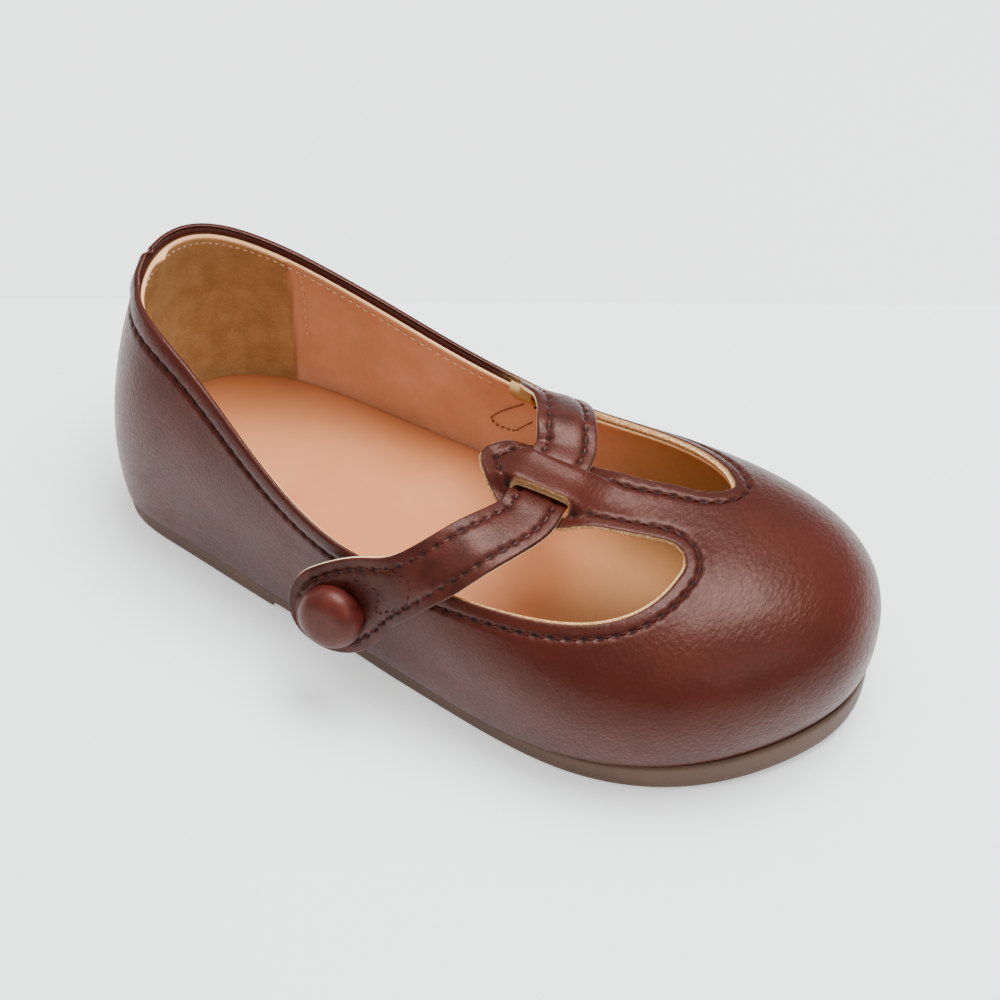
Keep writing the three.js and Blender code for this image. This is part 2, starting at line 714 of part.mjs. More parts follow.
// The covered button: a domed cap with a short straight rim, on the middle of the strap's end
function buttonMesh(frames) {
  const radius = BUTTON_DIAMETER / 2;
  const dome = BUTTON_HEIGHT - BUTTON_RIM;
  const profile = [new THREE.Vector2(0, 0), new THREE.Vector2(0.86 * radius, 0)];
  profile.push(new THREE.Vector2(radius, 0.5 * BUTTON_RIM));
  for (let step = 0; step < 8; step += 1) {
    const angle = (step / 8) * (Math.PI / 2);
    const along = BUTTON_RIM + dome * Math.sin(angle);
    profile.push(new THREE.Vector2(radius * Math.cos(angle) ** 0.8, along));
  }
  profile.push(new THREE.Vector2(0, BUTTON_HEIGHT));
  const geometry = geometryOfSolid(solidOf(new THREE.LatheGeometry(profile, BUTTON_STEPS)));
  const mesh = new THREE.Mesh(geometry, buttonLeather);
  mesh.name = 'button';
  const seat = frames.find(({ fromEnd }) => fromEnd >= STRAP_END_WIDTH / 2);
  mesh.position.copy(seat.point).addScaledVector(seat.normal, STRAP_THICKNESS / 2 + BUTTON_CLEARANCE);
  mesh.quaternion.setFromUnitVectors(new THREE.Vector3(0, 1, 0), seat.normal);
  return mesh;
}

const leather = new THREE.MeshStandardMaterial({ color: 0x5c342c, roughness: 0.38, metalness: 0 });
const strapLeather = new THREE.MeshStandardMaterial({ color: 0x56302a, roughness: 0.4, metalness: 0 });
const buttonLeather = new THREE.MeshStandardMaterial({ color: 0x5e2a24, roughness: 0.34, metalness: 0 });
const sockLeather = new THREE.MeshStandardMaterial({ color: 0xdeaa87, roughness: 0.7, metalness: 0 });
const rubber = new THREE.MeshStandardMaterial({ color: 0x735541, roughness: 0.78, metalness: 0 });

function piece(name, solid, material) {
  const mesh = new THREE.Mesh(geometryOfSolid(solid), material);
  mesh.name = name;
  return mesh;
}

const frames = strapFrames();
const pieces = new THREE.Group();
pieces.add(piece('outsole', outsoleSolid(), rubber));
pieces.add(piece('insole', insoleSolid(), sockLeather));
pieces.add(piece('upper', upperSolid(), leather));
pieces.add(piece('strap', strapSolid(frames), strapLeather));
pieces.add(buttonMesh(frames));

// The origin is on the floor under the middle of the shoe's box
const box = new THREE.Box3().setFromObject(pieces, true);
pieces.position.set(-(box.min.x + box.max.x) / 2, -(box.min.y + box.max.y) / 2, -box.min.z);

const shoe = new THREE.Group();
shoe.add(pieces);
export default shoe;
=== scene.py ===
import math

import bmesh
import bpy
import numpy as np
from mathutils import Matrix, Vector, kdtree
from mathutils.geometry import delaunay_2d_cdt


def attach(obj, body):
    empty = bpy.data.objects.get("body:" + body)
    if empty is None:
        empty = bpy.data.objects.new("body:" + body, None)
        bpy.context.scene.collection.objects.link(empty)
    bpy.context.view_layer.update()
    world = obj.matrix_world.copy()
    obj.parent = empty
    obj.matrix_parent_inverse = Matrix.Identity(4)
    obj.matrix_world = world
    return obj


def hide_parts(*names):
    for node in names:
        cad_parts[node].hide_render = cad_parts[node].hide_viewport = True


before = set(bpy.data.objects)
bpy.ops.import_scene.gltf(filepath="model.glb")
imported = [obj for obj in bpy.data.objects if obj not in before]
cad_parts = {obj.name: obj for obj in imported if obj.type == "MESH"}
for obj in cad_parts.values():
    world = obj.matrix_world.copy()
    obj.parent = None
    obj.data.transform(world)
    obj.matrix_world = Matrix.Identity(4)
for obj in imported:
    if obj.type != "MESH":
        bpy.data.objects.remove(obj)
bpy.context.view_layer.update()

# The studio: a pale table with a pale board behind it, and the camera where the photograph was
# taken from, above the outer side and looking down at the toe.
MM = 0.001
TO_FRAME = np.array((-83.17, 7.86, 0))
VIEW_ANGLES = (26.95, 48.24, 0.45)
CAMERA_DISTANCE = 0.55857
SENSOR = 0.036
FOCAL_SHARE = 2.64451
AIM_ON_LAST = (84.07, 2.93, 20)
azimuth, elevation, roll = (math.radians(angle) for angle in VIEW_ANGLES)
aim = Vector((AIM_ON_LAST + TO_FRAME) * MM)
back = Vector((
    math.sin(azimuth) * math.cos(elevation),
    -math.cos(azimuth) * math.cos(elevation),
    math.sin(elevation),
))
level = (-back).cross(Vector((0, 0, 1))).normalized()
upright = level.cross(-back)
right = level * math.cos(roll) + upright * math.sin(roll)
up = upright * math.cos(roll) - level * math.sin(roll)
camera = bpy.data.objects.new("camera", bpy.data.cameras.new("camera"))
camera.data.sensor_width = SENSOR / MM
camera.data.lens = FOCAL_SHARE * SENSOR / MM
camera.data.clip_start = 0.01
camera.data.clip_end = 20
camera.matrix_world = Matrix.LocRotScale(
    aim + back * CAMERA_DISTANCE, Matrix((right, up, back)).transposed(), None
)
bpy.context.scene.collection.objects.link(camera)
bpy.context.scene.camera = camera


def lamp(name, place, target, width, height, watts):
    """A soft box at a place, facing a target."""
    light = bpy.data.lights.new(name, "AREA")
    light.shape = "RECTANGLE"
    light.size = width
    light.size_y = height
    light.energy = watts
    box = bpy.data.objects.new(name, light)
    box.location = place
    box.rotation_mode = "QUATERNION"
    box.rotation_quaternion = (Vector(target) - Vector(place)).to_track_quat("-Z", "Y")
    bpy.context.scene.collection.objects.link(box)


lamp("overhead_box", (0.10, 0.25, 1.0), (0, 0, 0), 0.7, 0.5, 23.0)
lamp("toe_box", (0.75, -0.35, 0.55), (0.02, 0, 0.02), 0.5, 0.3, 1.7)
lamp("heel_box", (-0.8, 0.25, 0.45), (-0.05, 0, 0.03), 0.5, 0.5, 1.1)

# The room: bright overhead and dim at the table's level.
SKY_LOW, SKY_HIGH = 0.17, 1.6
world = bpy.data.worlds.new("studio")
world.use_nodes = True
sky = world.node_tree.nodes["Background"]
sky.inputs["Color"].default_value = (1, 0.955, 0.91, 1)
way_up = world.node_tree.nodes.new("ShaderNodeSeparateXYZ")
view_way = world.node_tree.nodes.new("ShaderNodeTexCoord")
brightness = world.node_tree.nodes.new("ShaderNodeMapRange")
brightness.inputs["To Min"].default_value = SKY_LOW
brightness.inputs["To Max"].default_value = SKY_HIGH
for source, socket in (
    (view_way.outputs["Generated"], way_up.inputs[0]),
    (way_up.outputs["Z"], brightness.inputs["Value"]),
    (brightness.outputs["Result"], sky.inputs["Strength"]),
):
    world.node_tree.links.new(source, socket)
bpy.context.scene.world = world


class Value:
    """A number or colour that varies over a surface: a socket that can be used in sums."""

    def __init__(self, finish, socket):
        self.finish = finish
        self.socket = socket

    def sum(self, operation, first, second):
        return self.finish.node("ShaderNodeMath", {"operation": operation}, {0: first, 1: second})

    def __add__(self, other):
        return self.sum("ADD", self, other)

    def __rsub__(self, other):
        return self.sum("SUBTRACT", other, self)

    def __mul__(self, other):
        return self.sum("MULTIPLY", self, other)

    def between(self, low, high):
        """0 below low, 1 above high, smooth in between; high may be the lower one."""
        settings = {"interpolation_type": "SMOOTHSTEP"}
        inputs = {"Value": self, "From Min": low, "From Max": high}
        return self.finish.node("ShaderNodeMapRange", settings, inputs)


class Finish:
    """A material, with its shader and one way to add the nodes that feed it."""

    def __init__(self, name, **constants):
        self.material = bpy.data.materials.new(name)
        self.material.use_nodes = True
        self.tree = self.material.node_tree
        self.shader = self.tree.nodes["Principled BSDF"]
        for key, value in constants.items():
            self.shader.inputs[key.replace("_", " ")].default_value = value

    def node(self, kind, settings=None, inputs=None, output=0):
        made = self.tree.nodes.new(kind)
        for key, value in (settings or {}).items():
            setattr(made, key, value)
        for key, value in (inputs or {}).items():
            self.plug(made.inputs[key], value)
        return Value(self, made.outputs[output])

    def plug(self, socket, value):
        if isinstance(value, Value):
            self.tree.links.new(value.socket, socket)
        elif socket.type == "RGBA" and len(value) == 3:
            socket.default_value = (*value, 1)
        else:
            socket.default_value = value

    def feed(self, **values):
        for key, value in values.items():
            self.plug(self.shader.inputs[key.replace("_", " ")], value)

    def mark(self, name):
        """A number kept on the mesh's own points."""
        return self.node("ShaderNodeAttribute", {"attribute_name": name}, output="Fac")

    def place(self, stretch=(1, 1, 1)):
        """The place on the object, stretched so that a grain can run one way."""
        at = self.node("ShaderNodeTexCoord", output="Object")
        return self.node("ShaderNodeMapping", {}, {"Vector": at, "Scale": stretch})

    def cloud(self, size, detail=4, at=None, roughness=0.55):
        """Soft noise with lumps of a size in millimetres."""
        inputs = {
            "Vector": at or self.place(),
            "Scale": 1 / (size * MM),
            "Detail": detail,
            "Roughness": roughness,
        }
        return self.node("ShaderNodeTexNoise", {}, inputs)

    def cells(self, size, at=None):
        """Small cells of a size in millimetres."""
        inputs = {"Vector": at or self.place(), "Scale": 1 / (size * MM)}
        return self.node("ShaderNodeTexVoronoi", {}, inputs, "Distance")

    def forward(self, low, high):
        """0 behind the first place along the shoe and 1 ahead of the second, in metres."""
        return self.node("ShaderNodeSeparateXYZ", {}, {0: self.place()}, "X").between(low, high)

    def mix(self, share, low, high):
        """The colour low where share is 0 and high where it is 1."""
        inputs = {0: share, 6: low, 7: high}
        return self.node("ShaderNodeMix", {"data_type": "RGBA"}, inputs, 2)

    def layered(self, colour, *layers):
        """A colour with others laid over it in turn, each by its share."""
        for share, over in layers:
            colour = self.mix(share, colour, over)
        return colour

    def relief(self, height, depth, strength):
        inputs = {"Height": height, "Distance": depth * MM, "Strength": strength}
        self.feed(Normal=self.node("ShaderNodeBump", {}, inputs))


def linear(red, green, blue):
    """A colour as a paint chart gives it, 0 to 255, made linear."""
    return tuple(
        part / 12.92 if part <= 0.04045 else ((part + 0.055) / 1.055) ** 2.4
        for part in (red / 255, green / 255, blue / 255)
    )


def fibres(name, gloss, grain, low, high, rough, depth=0, spread=None):
    """A matt material whose fine grain shows in its shade, roughness and relief."""
    finish = Finish(name, Specular_IOR_Level=gloss)
    nap = finish.cloud(*grain)
    shade = nap.between(*spread) if spread else nap
    finish.feed(
        Base_Color=finish.mix(shade, linear(*low), linear(*high)), Roughness=nap * 0.2 + rough
    )
    if depth:
        finish.relief(nap, depth, 0.5)
    return finish


table = Finish("pale_table", Roughness=0.6, Specular_IOR_Level=0.25, Emission_Strength=0.45)
across_view = table.node("ShaderNodeVectorMath", {"operation": "DOT_PRODUCT"}, {
    0: table.node("ShaderNodeTexCoord", output="Object"),
    1: (-math.sin(azimuth), math.cos(azimuth), 0),
}, "Value")
BOARD_STARTS = 0.0895
behind = across_view.between(BOARD_STARTS, BOARD_STARTS + 0.0012)
table.feed(Base_Color=table.mix(behind, linear(236, 240, 243), linear(224, 227, 230)))
table.feed(Roughness=table.cloud(30, 2) * 0.1 + 0.55, Emission_Color=(0.95, 0.99, 1))
bpy.ops.mesh.primitive_plane_add(size=5, location=(0, 0, 0))
table_top = bpy.context.object
table_top.name = "table_top"
table_top.data.materials.append(table.material)

# The last: the wooden form of a right foot that the leather is pulled over. It isn't part of the
# shoe, but every leather piece takes its shape from it. Turn goes round from the heel, 180 at the
# toe, outer side first; climb goes up the wall, 90 at the ridge. Sizes are in millimetres.
LENGTH = 165
BALL_WIDTH = 67.6
HEEL_WIDTH = 46.7
BACK_HEIGHT = 58
INSTEP_HEIGHT = 45.5
TOE_HEIGHT = 38.2
HEEL_TOP_INSET = 20
TOE_CAP_LENGTH = 37
RIDGE_RUN = LENGTH - TOE_CAP_LENGTH - HEEL_TOP_INSET
HEEL_SEAT = 5.6
FOREFOOT_SEAT = 5.4
TOE_SEAT = 9.6
WALL = 2.2
HEEL_TURNS = (0, 22, 42, 318, 338)
OUTLINE = {
    "turn": (0, 22, 42, 65, 92, 118, 140, 160, 180, 200, 220, 242, 268, 295, 318, 338),
    "share": (0, -0.404, -0.527, -0.435, -0.526, -0.577, -0.445, -0.22,
              0, 0.24, 0.388, 0.422, 0.344, 0.334, 0.473, 0.327),
}
WALLS = {
    "turn": (0, 22, 42, 65, 92, 118, 140, 180, 220, 242, 268, 295, 318, 338),
    "round": (2.4, 2, 2.45, 2.45, 2.6, 2.35, 2.4, 2.4, 2.35, 2.3, 2.35, 2.6, 2.55, 2.55),
    "tuck": (14, 14.5, 15, 15.5, 17.5, 17.5, 17.5, 19, 17.5, 17.5, 17, 15.5, 15, 14.5),
}
RIDGE = {
    "along": (0, 0.2, 0.4, 0.55, 0.7, 0.85, 1),
    "height": (1.2 * BACK_HEIGHT, 1.035 * BACK_HEIGHT, 1.2 * INSTEP_HEIGHT, INSTEP_HEIGHT,
               1.1 * TOE_HEIGHT, 1.037 * TOE_HEIGHT, TOE_HEIGHT),
}
SEAT = {
    "along": (0, 0.25, 0.45, 0.68, 0.85, 1),
    "height": (0.95 * HEEL_SEAT, 1.1 * HEEL_SEAT, FOREFOOT_SEAT, FOREFOOT_SEAT,
               0.79 * TOE_SEAT, TOE_SEAT),
}


def cubic_through(at, values, period=0):
    """The smooth cubic through rows of numbers, closed on itself where a period is given."""
    at, values = np.array(at, float), np.array(values, float)
    if period:
        at = np.append(at, at[0] + period)
        values = np.append(values, values[0])
    step = np.diff(at)
    size = len(at)
    slope = np.diff(values) / step
    matrix, rise = np.zeros((size, size)), np.zeros(size)
    for i in range(1, size - 1):
        matrix[i, i - 1 : i + 2] = step[i - 1], 2 * (step[i - 1] + step[i]), step[i]
        rise[i] = 6 * (slope[i] - slope[i - 1])
    matrix[0, 0] = matrix[-1, -1] = 1
    if period:
        matrix[0, -1] = -1
        matrix[-1, [0, 1, -2, -1]] = 2 * step[0], step[0], step[-1], 2 * step[-1]
        rise[-1] = 6 * (slope[0] - slope[-1])
    bend = np.linalg.solve(matrix, rise)

    def curve(place):
        place = np.asarray(place, float)
        place = at[0] + (place - at[0]) % period if period else place
        i = np.clip(np.searchsorted(at, place, "right") - 1, 0, size - 2)
        done, left, width = place - at[i], at[i + 1] - place, step[i]
        curved = (bend[i] * left**3 + bend[i + 1] * done**3) / (6 * width)
        low = (values[i] / width - bend[i] * width / 6) * left
        return curved + low + (values[i + 1] / width - bend[i + 1] * width / 6) * done

    return curve


breadth_at = cubic_through(OUTLINE["turn"], [
    share * (HEEL_WIDTH if turn in HEEL_TURNS else BALL_WIDTH)
    for turn, share in zip(*OUTLINE.values())
], 360)
round_at = cubic_through(WALLS["turn"], WALLS["round"], 360)
tuck_at = cubic_through(WALLS["turn"], WALLS["tuck"], 360)
ridge_height_at = cubic_through(*RIDGE.values())
seat_height_at = cubic_through(*SEAT.values())


def seat_at(x):
    return seat_height_at(np.clip(x / LENGTH, 0, 1))


def seam_at(turn, grow=0.0):
    """Where upper and sole meet, seen from above, pushed outwards by grow."""
    nudge = 0.5
    ahead = (LENGTH / 2) * (
        np.cos(np.radians(turn - nudge)) - np.cos(np.radians(turn + nudge))
    )
    aside = breadth_at(turn + nudge) - breadth_at(turn - nudge)
    length = np.hypot(ahead, aside)
    x = (LENGTH / 2) * (1 - np.cos(np.radians(turn)))
    return x + grow * aside / length, breadth_at(turn) - grow * ahead / length


def ridge_at(turn):
    """The top of the last across from a turn, seen from above, and its height."""
    share = (1 - np.cos(np.radians(turn))) / 2
    x = HEEL_TOP_INSET + RIDGE_RUN * share
    beside = np.degrees(np.arccos(1 - 2 * x / LENGTH))
    return x, (breadth_at(beside) + breadth_at(-beside)) / 2, ridge_height_at(share)


def last_point(turn, climb, grow=0.0):
    """A place on the last, grown by a thickness."""
    turn, climb, grow = np.broadcast_arrays(*(np.asarray(v, float) for v in (turn, climb, grow)))
    seam_x, seam_y = seam_at(turn, grow)
    ridge_x, ridge_y, ridge_z = ridge_at(turn)
    ridge_z = ridge_z + grow
    power = 2 / round_at(turn)
    tuck = np.radians(tuck_at(turn))
    under = np.sin(tuck) ** power
    girth = (seat_at(seam_x) + ridge_z * under) / (1 + under)
    angle = np.radians(np.minimum(climb, 90))
    reach = np.cos(angle).clip(0) ** power / np.cos(tuck) ** power
    lift = np.sign(angle) * np.abs(np.sin(angle)) ** power
    return np.stack((
        ridge_x + (seam_x - ridge_x) * reach,
        ridge_y + (seam_y - ridge_y) * reach,
        girth + (ridge_z - girth) * lift,
    ), -1)


def unit(vectors):
    return vectors / np.linalg.norm(vectors, axis=-1, keepdims=True)


def last_normal(turn, climb, grow=0.0):
    nudge = 0.4
    high = np.minimum(climb, 90 - 2 * nudge)
    ahead = last_point(turn + nudge, climb, grow) - last_point(turn - nudge, climb, grow)
    rise = last_point(turn, high + nudge, grow) - last_point(turn, high - nudge, grow)
    return unit(np.cross(ahead, rise))


def run_down(turn, climb, samples=56):
    """How far a place lies from the ridge, along the leather."""
    turn, climb = np.asarray(turn, float), np.asarray(climb, float)
    steps = 90 + (climb[:, None] - 90) * np.linspace(0, 1, samples) ** 1.4
    path = last_point(turn[:, None], steps)
    return np.linalg.norm(np.diff(path, axis=1), axis=2).sum(1)


def flat(turn, climb):
    """The leather laid flat round the ridge, as it lies on the cutting table."""
    turn, climb = np.atleast_1d(turn).astype(float), np.atleast_1d(climb).astype(float)
    seam_x, seam_y = seam_at(turn)
    ridge_x, ridge_y, _ = ridge_at(turn)
    spoke = unit(np.stack((seam_x - ridge_x, seam_y - ridge_y), -1))
    return np.stack((ridge_x, ridge_y), -1) + spoke * run_down(turn, climb)[:, None]


def turn_through(x, y):
    """The turn whose spoke from the ridge passes over a place seen from above."""
    heel_x, heel_y, _ = ridge_at(np.array(0.0))
    toe_x, toe_y, _ = ridge_at(np.array(180.0))
    beside = np.degrees(np.arccos(np.clip(1 - 2 * x / LENGTH, -1, 1)))
    middle = (breadth_at(beside) + breadth_at(-beside)) / 2
    middle = np.where(x < heel_x, heel_y * x / heel_x, middle)
    middle = np.where(x > toe_x, toe_y * (LENGTH - x) / (LENGTH - toe_x), middle)
    outer = y < middle
    low, high = np.zeros(len(x)), np.full(len(x), 180.0)
    for _ in range(34):
        half = (low + high) / 2
        turn = np.where(outer, half, 360 - half)
        seam_x, seam_y = seam_at(turn)
        ridge_x, ridge_y, _ = ridge_at(turn)
        turned = (seam_x - ridge_x) * (y - ridge_y) - (seam_y - ridge_y) * (x - ridge_x)
        ahead = outer == (turned > 0)
        low, high = np.where(ahead, half, low), np.where(ahead, high, half)
    return np.where(outer, low, 360 - low)


def from_flat(places):
    """Turn and climb of places on the flat leather."""
    x, y = places[:, 0], places[:, 1]
    turn = turn_through(x, y)
    ridge_x, ridge_y, _ = ridge_at(turn)
    run = np.hypot(x - ridge_x, y - ridge_y)
    shares = np.linspace(0, 1, 90) ** 1.3
    climbs = 90 - (92 + tuck_at(turn))[:, None] * shares
    path = last_point(turn[:, None], climbs)
    runs = np.cumsum(np.linalg.norm(np.diff(path, axis=1), axis=2), axis=1)
    runs = np.concatenate((np.zeros((len(x), 1)), runs), axis=1)
    i = np.clip((runs < run[:, None]).sum(1) - 1, 0, len(shares) - 2)
    row = np.arange(len(x))
    part = (run - runs[row, i]) / np.maximum(runs[row, i + 1] - runs[row, i], 1e-6)
    return turn, climbs[row, i] + (climbs[row, i + 1] - climbs[row, i]) * part


def from_above(x, y):
    """Turn and climb of places seen from above."""
    turn = turn_through(x, y)
    seam_x, seam_y = seam_at(turn)
    ridge_x, ridge_y, _ = ridge_at(turn)
    reach = np.hypot(x - ridge_x, y - ridge_y) / np.hypot(seam_x - ridge_x, seam_y - ridge_y)
    cosine = reach ** (round_at(turn) / 2) * np.cos(np.radians(tuck_at(turn)))
    return turn, np.degrees(np.arccos(np.clip(cosine, 0, 1)))


# The outsole: one moulding of brown rubber with a low heel, a lifted arch and a toe that springs
# off the floor. Its side is straight between a small bevel below and a soft lip under the leather.
GAP = 0.3
SOLE_LIP = 0.8
SOLE_EDGE_BEVEL = 0.7
HEEL_LENGTH = 47
ARCH_LIFT = 1.5
TOE_SPRING = 1.8
SOLE_SIDE = {
    "rise": (0, 0.06, 0.14, 0.3, 0.55, 0.8, 0.88, 0.93, 0.97, 1),
    "out": (-1, -0.45, -0.1, 0, 0.05, 0.1, 0.04, -0.1, -0.35, -0.8),
}
SOLE_REACH = {
    "turn": (0, 45, 80, 110, 140, 180, 220, 250, 280, 315),
    "out": (-0.9, -0.8, -0.7, -0.5, 0.7, 1, 0.7, -0.5, -0.7, -0.8),
}
sole_reach_at = cubic_through(*SOLE_REACH.values(), 360)
rubber = Finish("brown_rubber", Specular_IOR_Level=0.35)
pits = rubber.cloud(0.5, 3)
smear = rubber.cloud(22, 5)
rubber.feed(
    Base_Color=rubber.mix(smear.between(0.35, 0.7), linear(68, 45, 31), linear(82, 56, 40)),
    Roughness=pits * 0.2 + smear * 0.15 + 0.42,
)
rubber.relief(pits + rubber.cells(0.35) * 0.4, 0.06, 0.5)


def smooth(share):
    share = np.clip(share, 0, 1)
    return share * share * (3 - 2 * share)


def underside_at(x):
    arch_end, spring_start = 0.5 * LENGTH, 0.7 * LENGTH
    spring = np.maximum(x - spring_start, 0) / (LENGTH - spring_start)
    share = (x - HEEL_LENGTH) / (arch_end - HEEL_LENGTH)
    arch = ARCH_LIFT * (1 - smooth((share - 0.35) / 0.65))
    return np.where(x <= HEEL_LENGTH, 0, np.where(x >= arch_end, TOE_SPRING * spring**2, arch))


def piece(name, points, faces, finish, stands_for=(), marks=None, sharp=None, merge=0):
    """An object from points in millimetres on the last, smooth, and riding with the shoe."""
    mesh = bpy.data.meshes.new(name)
    mesh.from_pydata(((np.asarray(points) + TO_FRAME) * MM).tolist(), [], faces)
    for key, values in (marks or {}).items():
        mesh.attributes.new(key, "FLOAT", "POINT").data.foreach_set("value", np.ravel(values))
    mesh.materials.append(finish.material)
    mesh.shade_smooth()
    if sharp:
        mesh.set_sharp_from_angle(angle=math.radians(sharp))
    shape = bmesh.new()
    shape.from_mesh(mesh)
    if merge:
        bmesh.ops.remove_doubles(shape, verts=shape.verts, dist=merge)
    bmesh.ops.recalc_face_normals(shape, faces=shape.faces)
    shape.to_mesh(mesh)
    shape.free()
    made = bpy.data.objects.new(name, mesh)
    bpy.context.scene.collection.objects.link(made)
    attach(made, "root")
    for node in stands_for:
        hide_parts(node)


def wrap(rows, columns, start=0, closed=True):
    """Faces of a grid of points, row after row, closed round its columns."""
    steps = columns if closed else columns - 1
    return [
        (
            start + row * columns + i,
            start + row * columns + (i + 1) % columns,
            start + (row + 1) * columns + (i + 1) % columns,
            start + (row + 1) * columns + i,
        )
        for row in range(rows - 1)
        for i in range(steps)
    ]


def side_loop(step, breast=None):
    """Turns round the shoe, mirrored, so that both halves have the same places along it."""
    half = np.arange(0, 180 + step / 2, step)
    if breast:
        half = half[np.abs(half - breast) > 0.9]
        half = np.sort(np.append(half, (breast - 0.3, breast + 0.3)))
    return np.concatenate((half, 360 - half[1:-1][::-1]))


def rungs(count, first, flip):
    """Faces across a closed loop of points, from side to side."""
    faces = []
    for i in range(count // 2):
        a, b = first + i, first + i + 1
        d, c = first + (count - i) % count, first + (count - i - 1) % count
        corners = [v for k, v in enumerate((a, b, c, d)) if v not in (a, b, c, d)[:k]]
        if len(corners) > 2:
            faces.append(tuple(corners[::-1] if flip else corners))
    return faces


def closed_body(loops):
    """The points and faces of a body through loops of places, closed at its first and last."""
    size = len(loops[0])
    faces = wrap(len(loops), size) + rungs(size, 0, True)
    return np.concatenate(loops), faces + rungs(size, size * (len(loops) - 1), False)


breast_at = HEEL_LENGTH + 0.4
breast_turn = math.degrees(math.acos(1 - 2 * breast_at / LENGTH))
sole_turns = side_loop(1.5, breast_turn)
mirrored = np.where(sole_turns > 180, 360 - sole_turns, sole_turns)
sole_along = (LENGTH / 2) * (1 - np.cos(np.radians(mirrored)))
heel_along = np.minimum(sole_along, HEEL_LENGTH)
sole_bottom = underside_at(np.where(sole_along < breast_at, heel_along, sole_along))
sole_points = []
for rise, out in zip(*SOLE_SIDE.values()):
    reach = WALL + sole_reach_at(sole_turns) * SOLE_LIP + out * SOLE_EDGE_BEVEL
    x, y = seam_at(sole_turns, reach)
    sole_points.append(np.stack((x, y, sole_bottom + rise * (seat_at(x) - GAP - sole_bottom)), -1))
piece("rubber_outsole", *closed_body(sole_points), rubber, ("outsole",), sharp=32)

# The sock: thin pinkish tan leather glued over the insole board, pulled smooth, its edge turned
# down against the lining all round.
SOCK_RISE = 3.8
sock_leather = Finish(
    "sock_leather", Specular_IOR_Level=0.35, Specular_Tint=(1, 0.75, 0.55, 1)
)
scuffs = sock_leather.cloud(0.45, 3, sock_leather.place((1, 0.5, 1)))
patches = sock_leather.cloud(26, 4)
rub = sock_leather.cloud(2.2, 5)
sock_leather.feed(
    Base_Color=sock_leather.layered(
        sock_leather.mix(patches.between(0.3, 0.72), linear(188, 118, 74), linear(198, 130, 86)),
        # Painted shade: the sock is darker along its rim, in the corner where it meets the lining.
        (sock_leather.mark("edge") * 0.6, linear(160, 98, 62)),
        # Painted shade: the sock is darker and browner towards the toe, where it lies under the vamp.
        (sock_leather.forward(0.012, 0.03) * 0.9, linear(146, 100, 58)),
        (scuffs.between(0.5, 0.8) * 0.18, linear(190, 134, 100)),
    ),
    Roughness=scuffs * 0.18 + rub * 0.12 + 0.38,
)
sock_leather.relief(scuffs * 0.6 + rub * 0.5, 0.07, 0.45)
sock_turns = side_loop(2)
tried = np.linspace(-14, 20, 35)
wall_heights = last_point(sock_turns[:, None], tried[None, :])[..., 2]
sock_target = seat_at(seam_at(sock_turns)[0]) + SOCK_RISE
sock_climb = np.array([
    np.interp(target, heights, tried) for target, heights in zip(sock_target, wall_heights)
])
sock_rim = last_point(sock_turns, sock_climb, -0.12)
sock_shares = (1, 0.995, 0.985, 0.965, 0.93, 0.86, 0.76, 0.64, 0.52, 0.4, 0.28, 0.16, 0.06)
sock_middle = np.stack((
    (LENGTH / 2) * (1 - 0.8 * np.cos(np.radians(sock_turns))),
    (breadth_at(sock_turns) + breadth_at(-sock_turns)) / 2 * 0.5,
), -1)
sock_points = [np.column_stack((sock_rim[:, :2], seat_at(sock_rim[:, 0]) + 0.05))]
# How much painted corner shade each ring of the sock gets: full at its rim, none a little way in.
sock_rim_shade = [np.ones(len(sock_turns))]
for share in sock_shares:
    flat_place = sock_middle + (sock_rim[:, :2] - sock_middle) * share
    dip = 0.5 * smooth((share - 0.86) / 0.14) ** 2 + 0.35 * (1 - share**2)
    height = seat_at(flat_place[:, 0]) + SOCK_RISE - dip
    sock_points.append(np.column_stack((flat_place, height)))
    sock_rim_shade.append(np.full(len(sock_turns), smooth((share - 0.955) / 0.045)))
piece(
    "insole_sock", *closed_body(sock_points), sock_leather, ("insole",),
    marks={"edge": np.concatenate(sock_rim_shade)}, sharp=50,
)

# The upper's pattern on the cutting table: one piece of leather whose single opening runs round
# the collar and both windows, with the T-bar as a tongue and two slits in the tongue's tab.
BAR_WIDTH = 14.6
BAR_FILLET = 6
TAB_LENGTH = 26
TAB_WIDTH = 18.6
SLIT_SPACING = 10
SLIT_LENGTH = 10.8
SLIT_AHEAD = 0.7
SLIT_WIDTH = 1.5
TAB_BUCKLE = 2.3
BUCKLE_FLAT = 4.5
BUCKLE_FADE = 8.5
STRAP_WIDTH = 12.4
EDGE = {
    "turn": (0, 12, 24, 36, 50, 65, 80, 95, 107, 121, 129, 136, 143, 150, 164, 180,
             196, 208, 219, 228, 240, 252, 265, 280, 295, 310, 324, 336, 348),
    "climb": (45.2, 46.4, 49, 48, 41.5, 28, 19, 30, 39, 47, 53, 60, 68, 75, 82, 84,
              80, 71.5, 62.5, 54.5, 47, 42, 35, 26.5, 30.5, 39, 43.6, 46, 46),
}
BAR = {
    "along": (0.516, 0.6, 0.68, 0.73, 0.79, 0.86),
    "aside": (-0.105, -0.1, -0.068, -0.03, 0.006, 0.02),
}
TAB = {
    "along": (0, 0.05, 0.13, 0.24, 0.36, 0.5, 0.7),
    "half": (0.07, 0.17, 0.28, 0.39, 0.47, 0.5, 0.49),
}
edge_climb_at = cubic_through(*EDGE.values(), 360)
bar_aside_share = cubic_through(*BAR.values())
tab_half_share = cubic_through(*TAB.values())
bar_tip = BAR["along"][0] * LENGTH
bar_end = BAR["along"][-1] * LENGTH
bar_root = 0.8 * LENGTH
strap_cross = bar_tip + 0.56 * TAB_LENGTH


def bar_aside(x):
    return bar_aside_share(x / LENGTH) * BALL_WIDTH


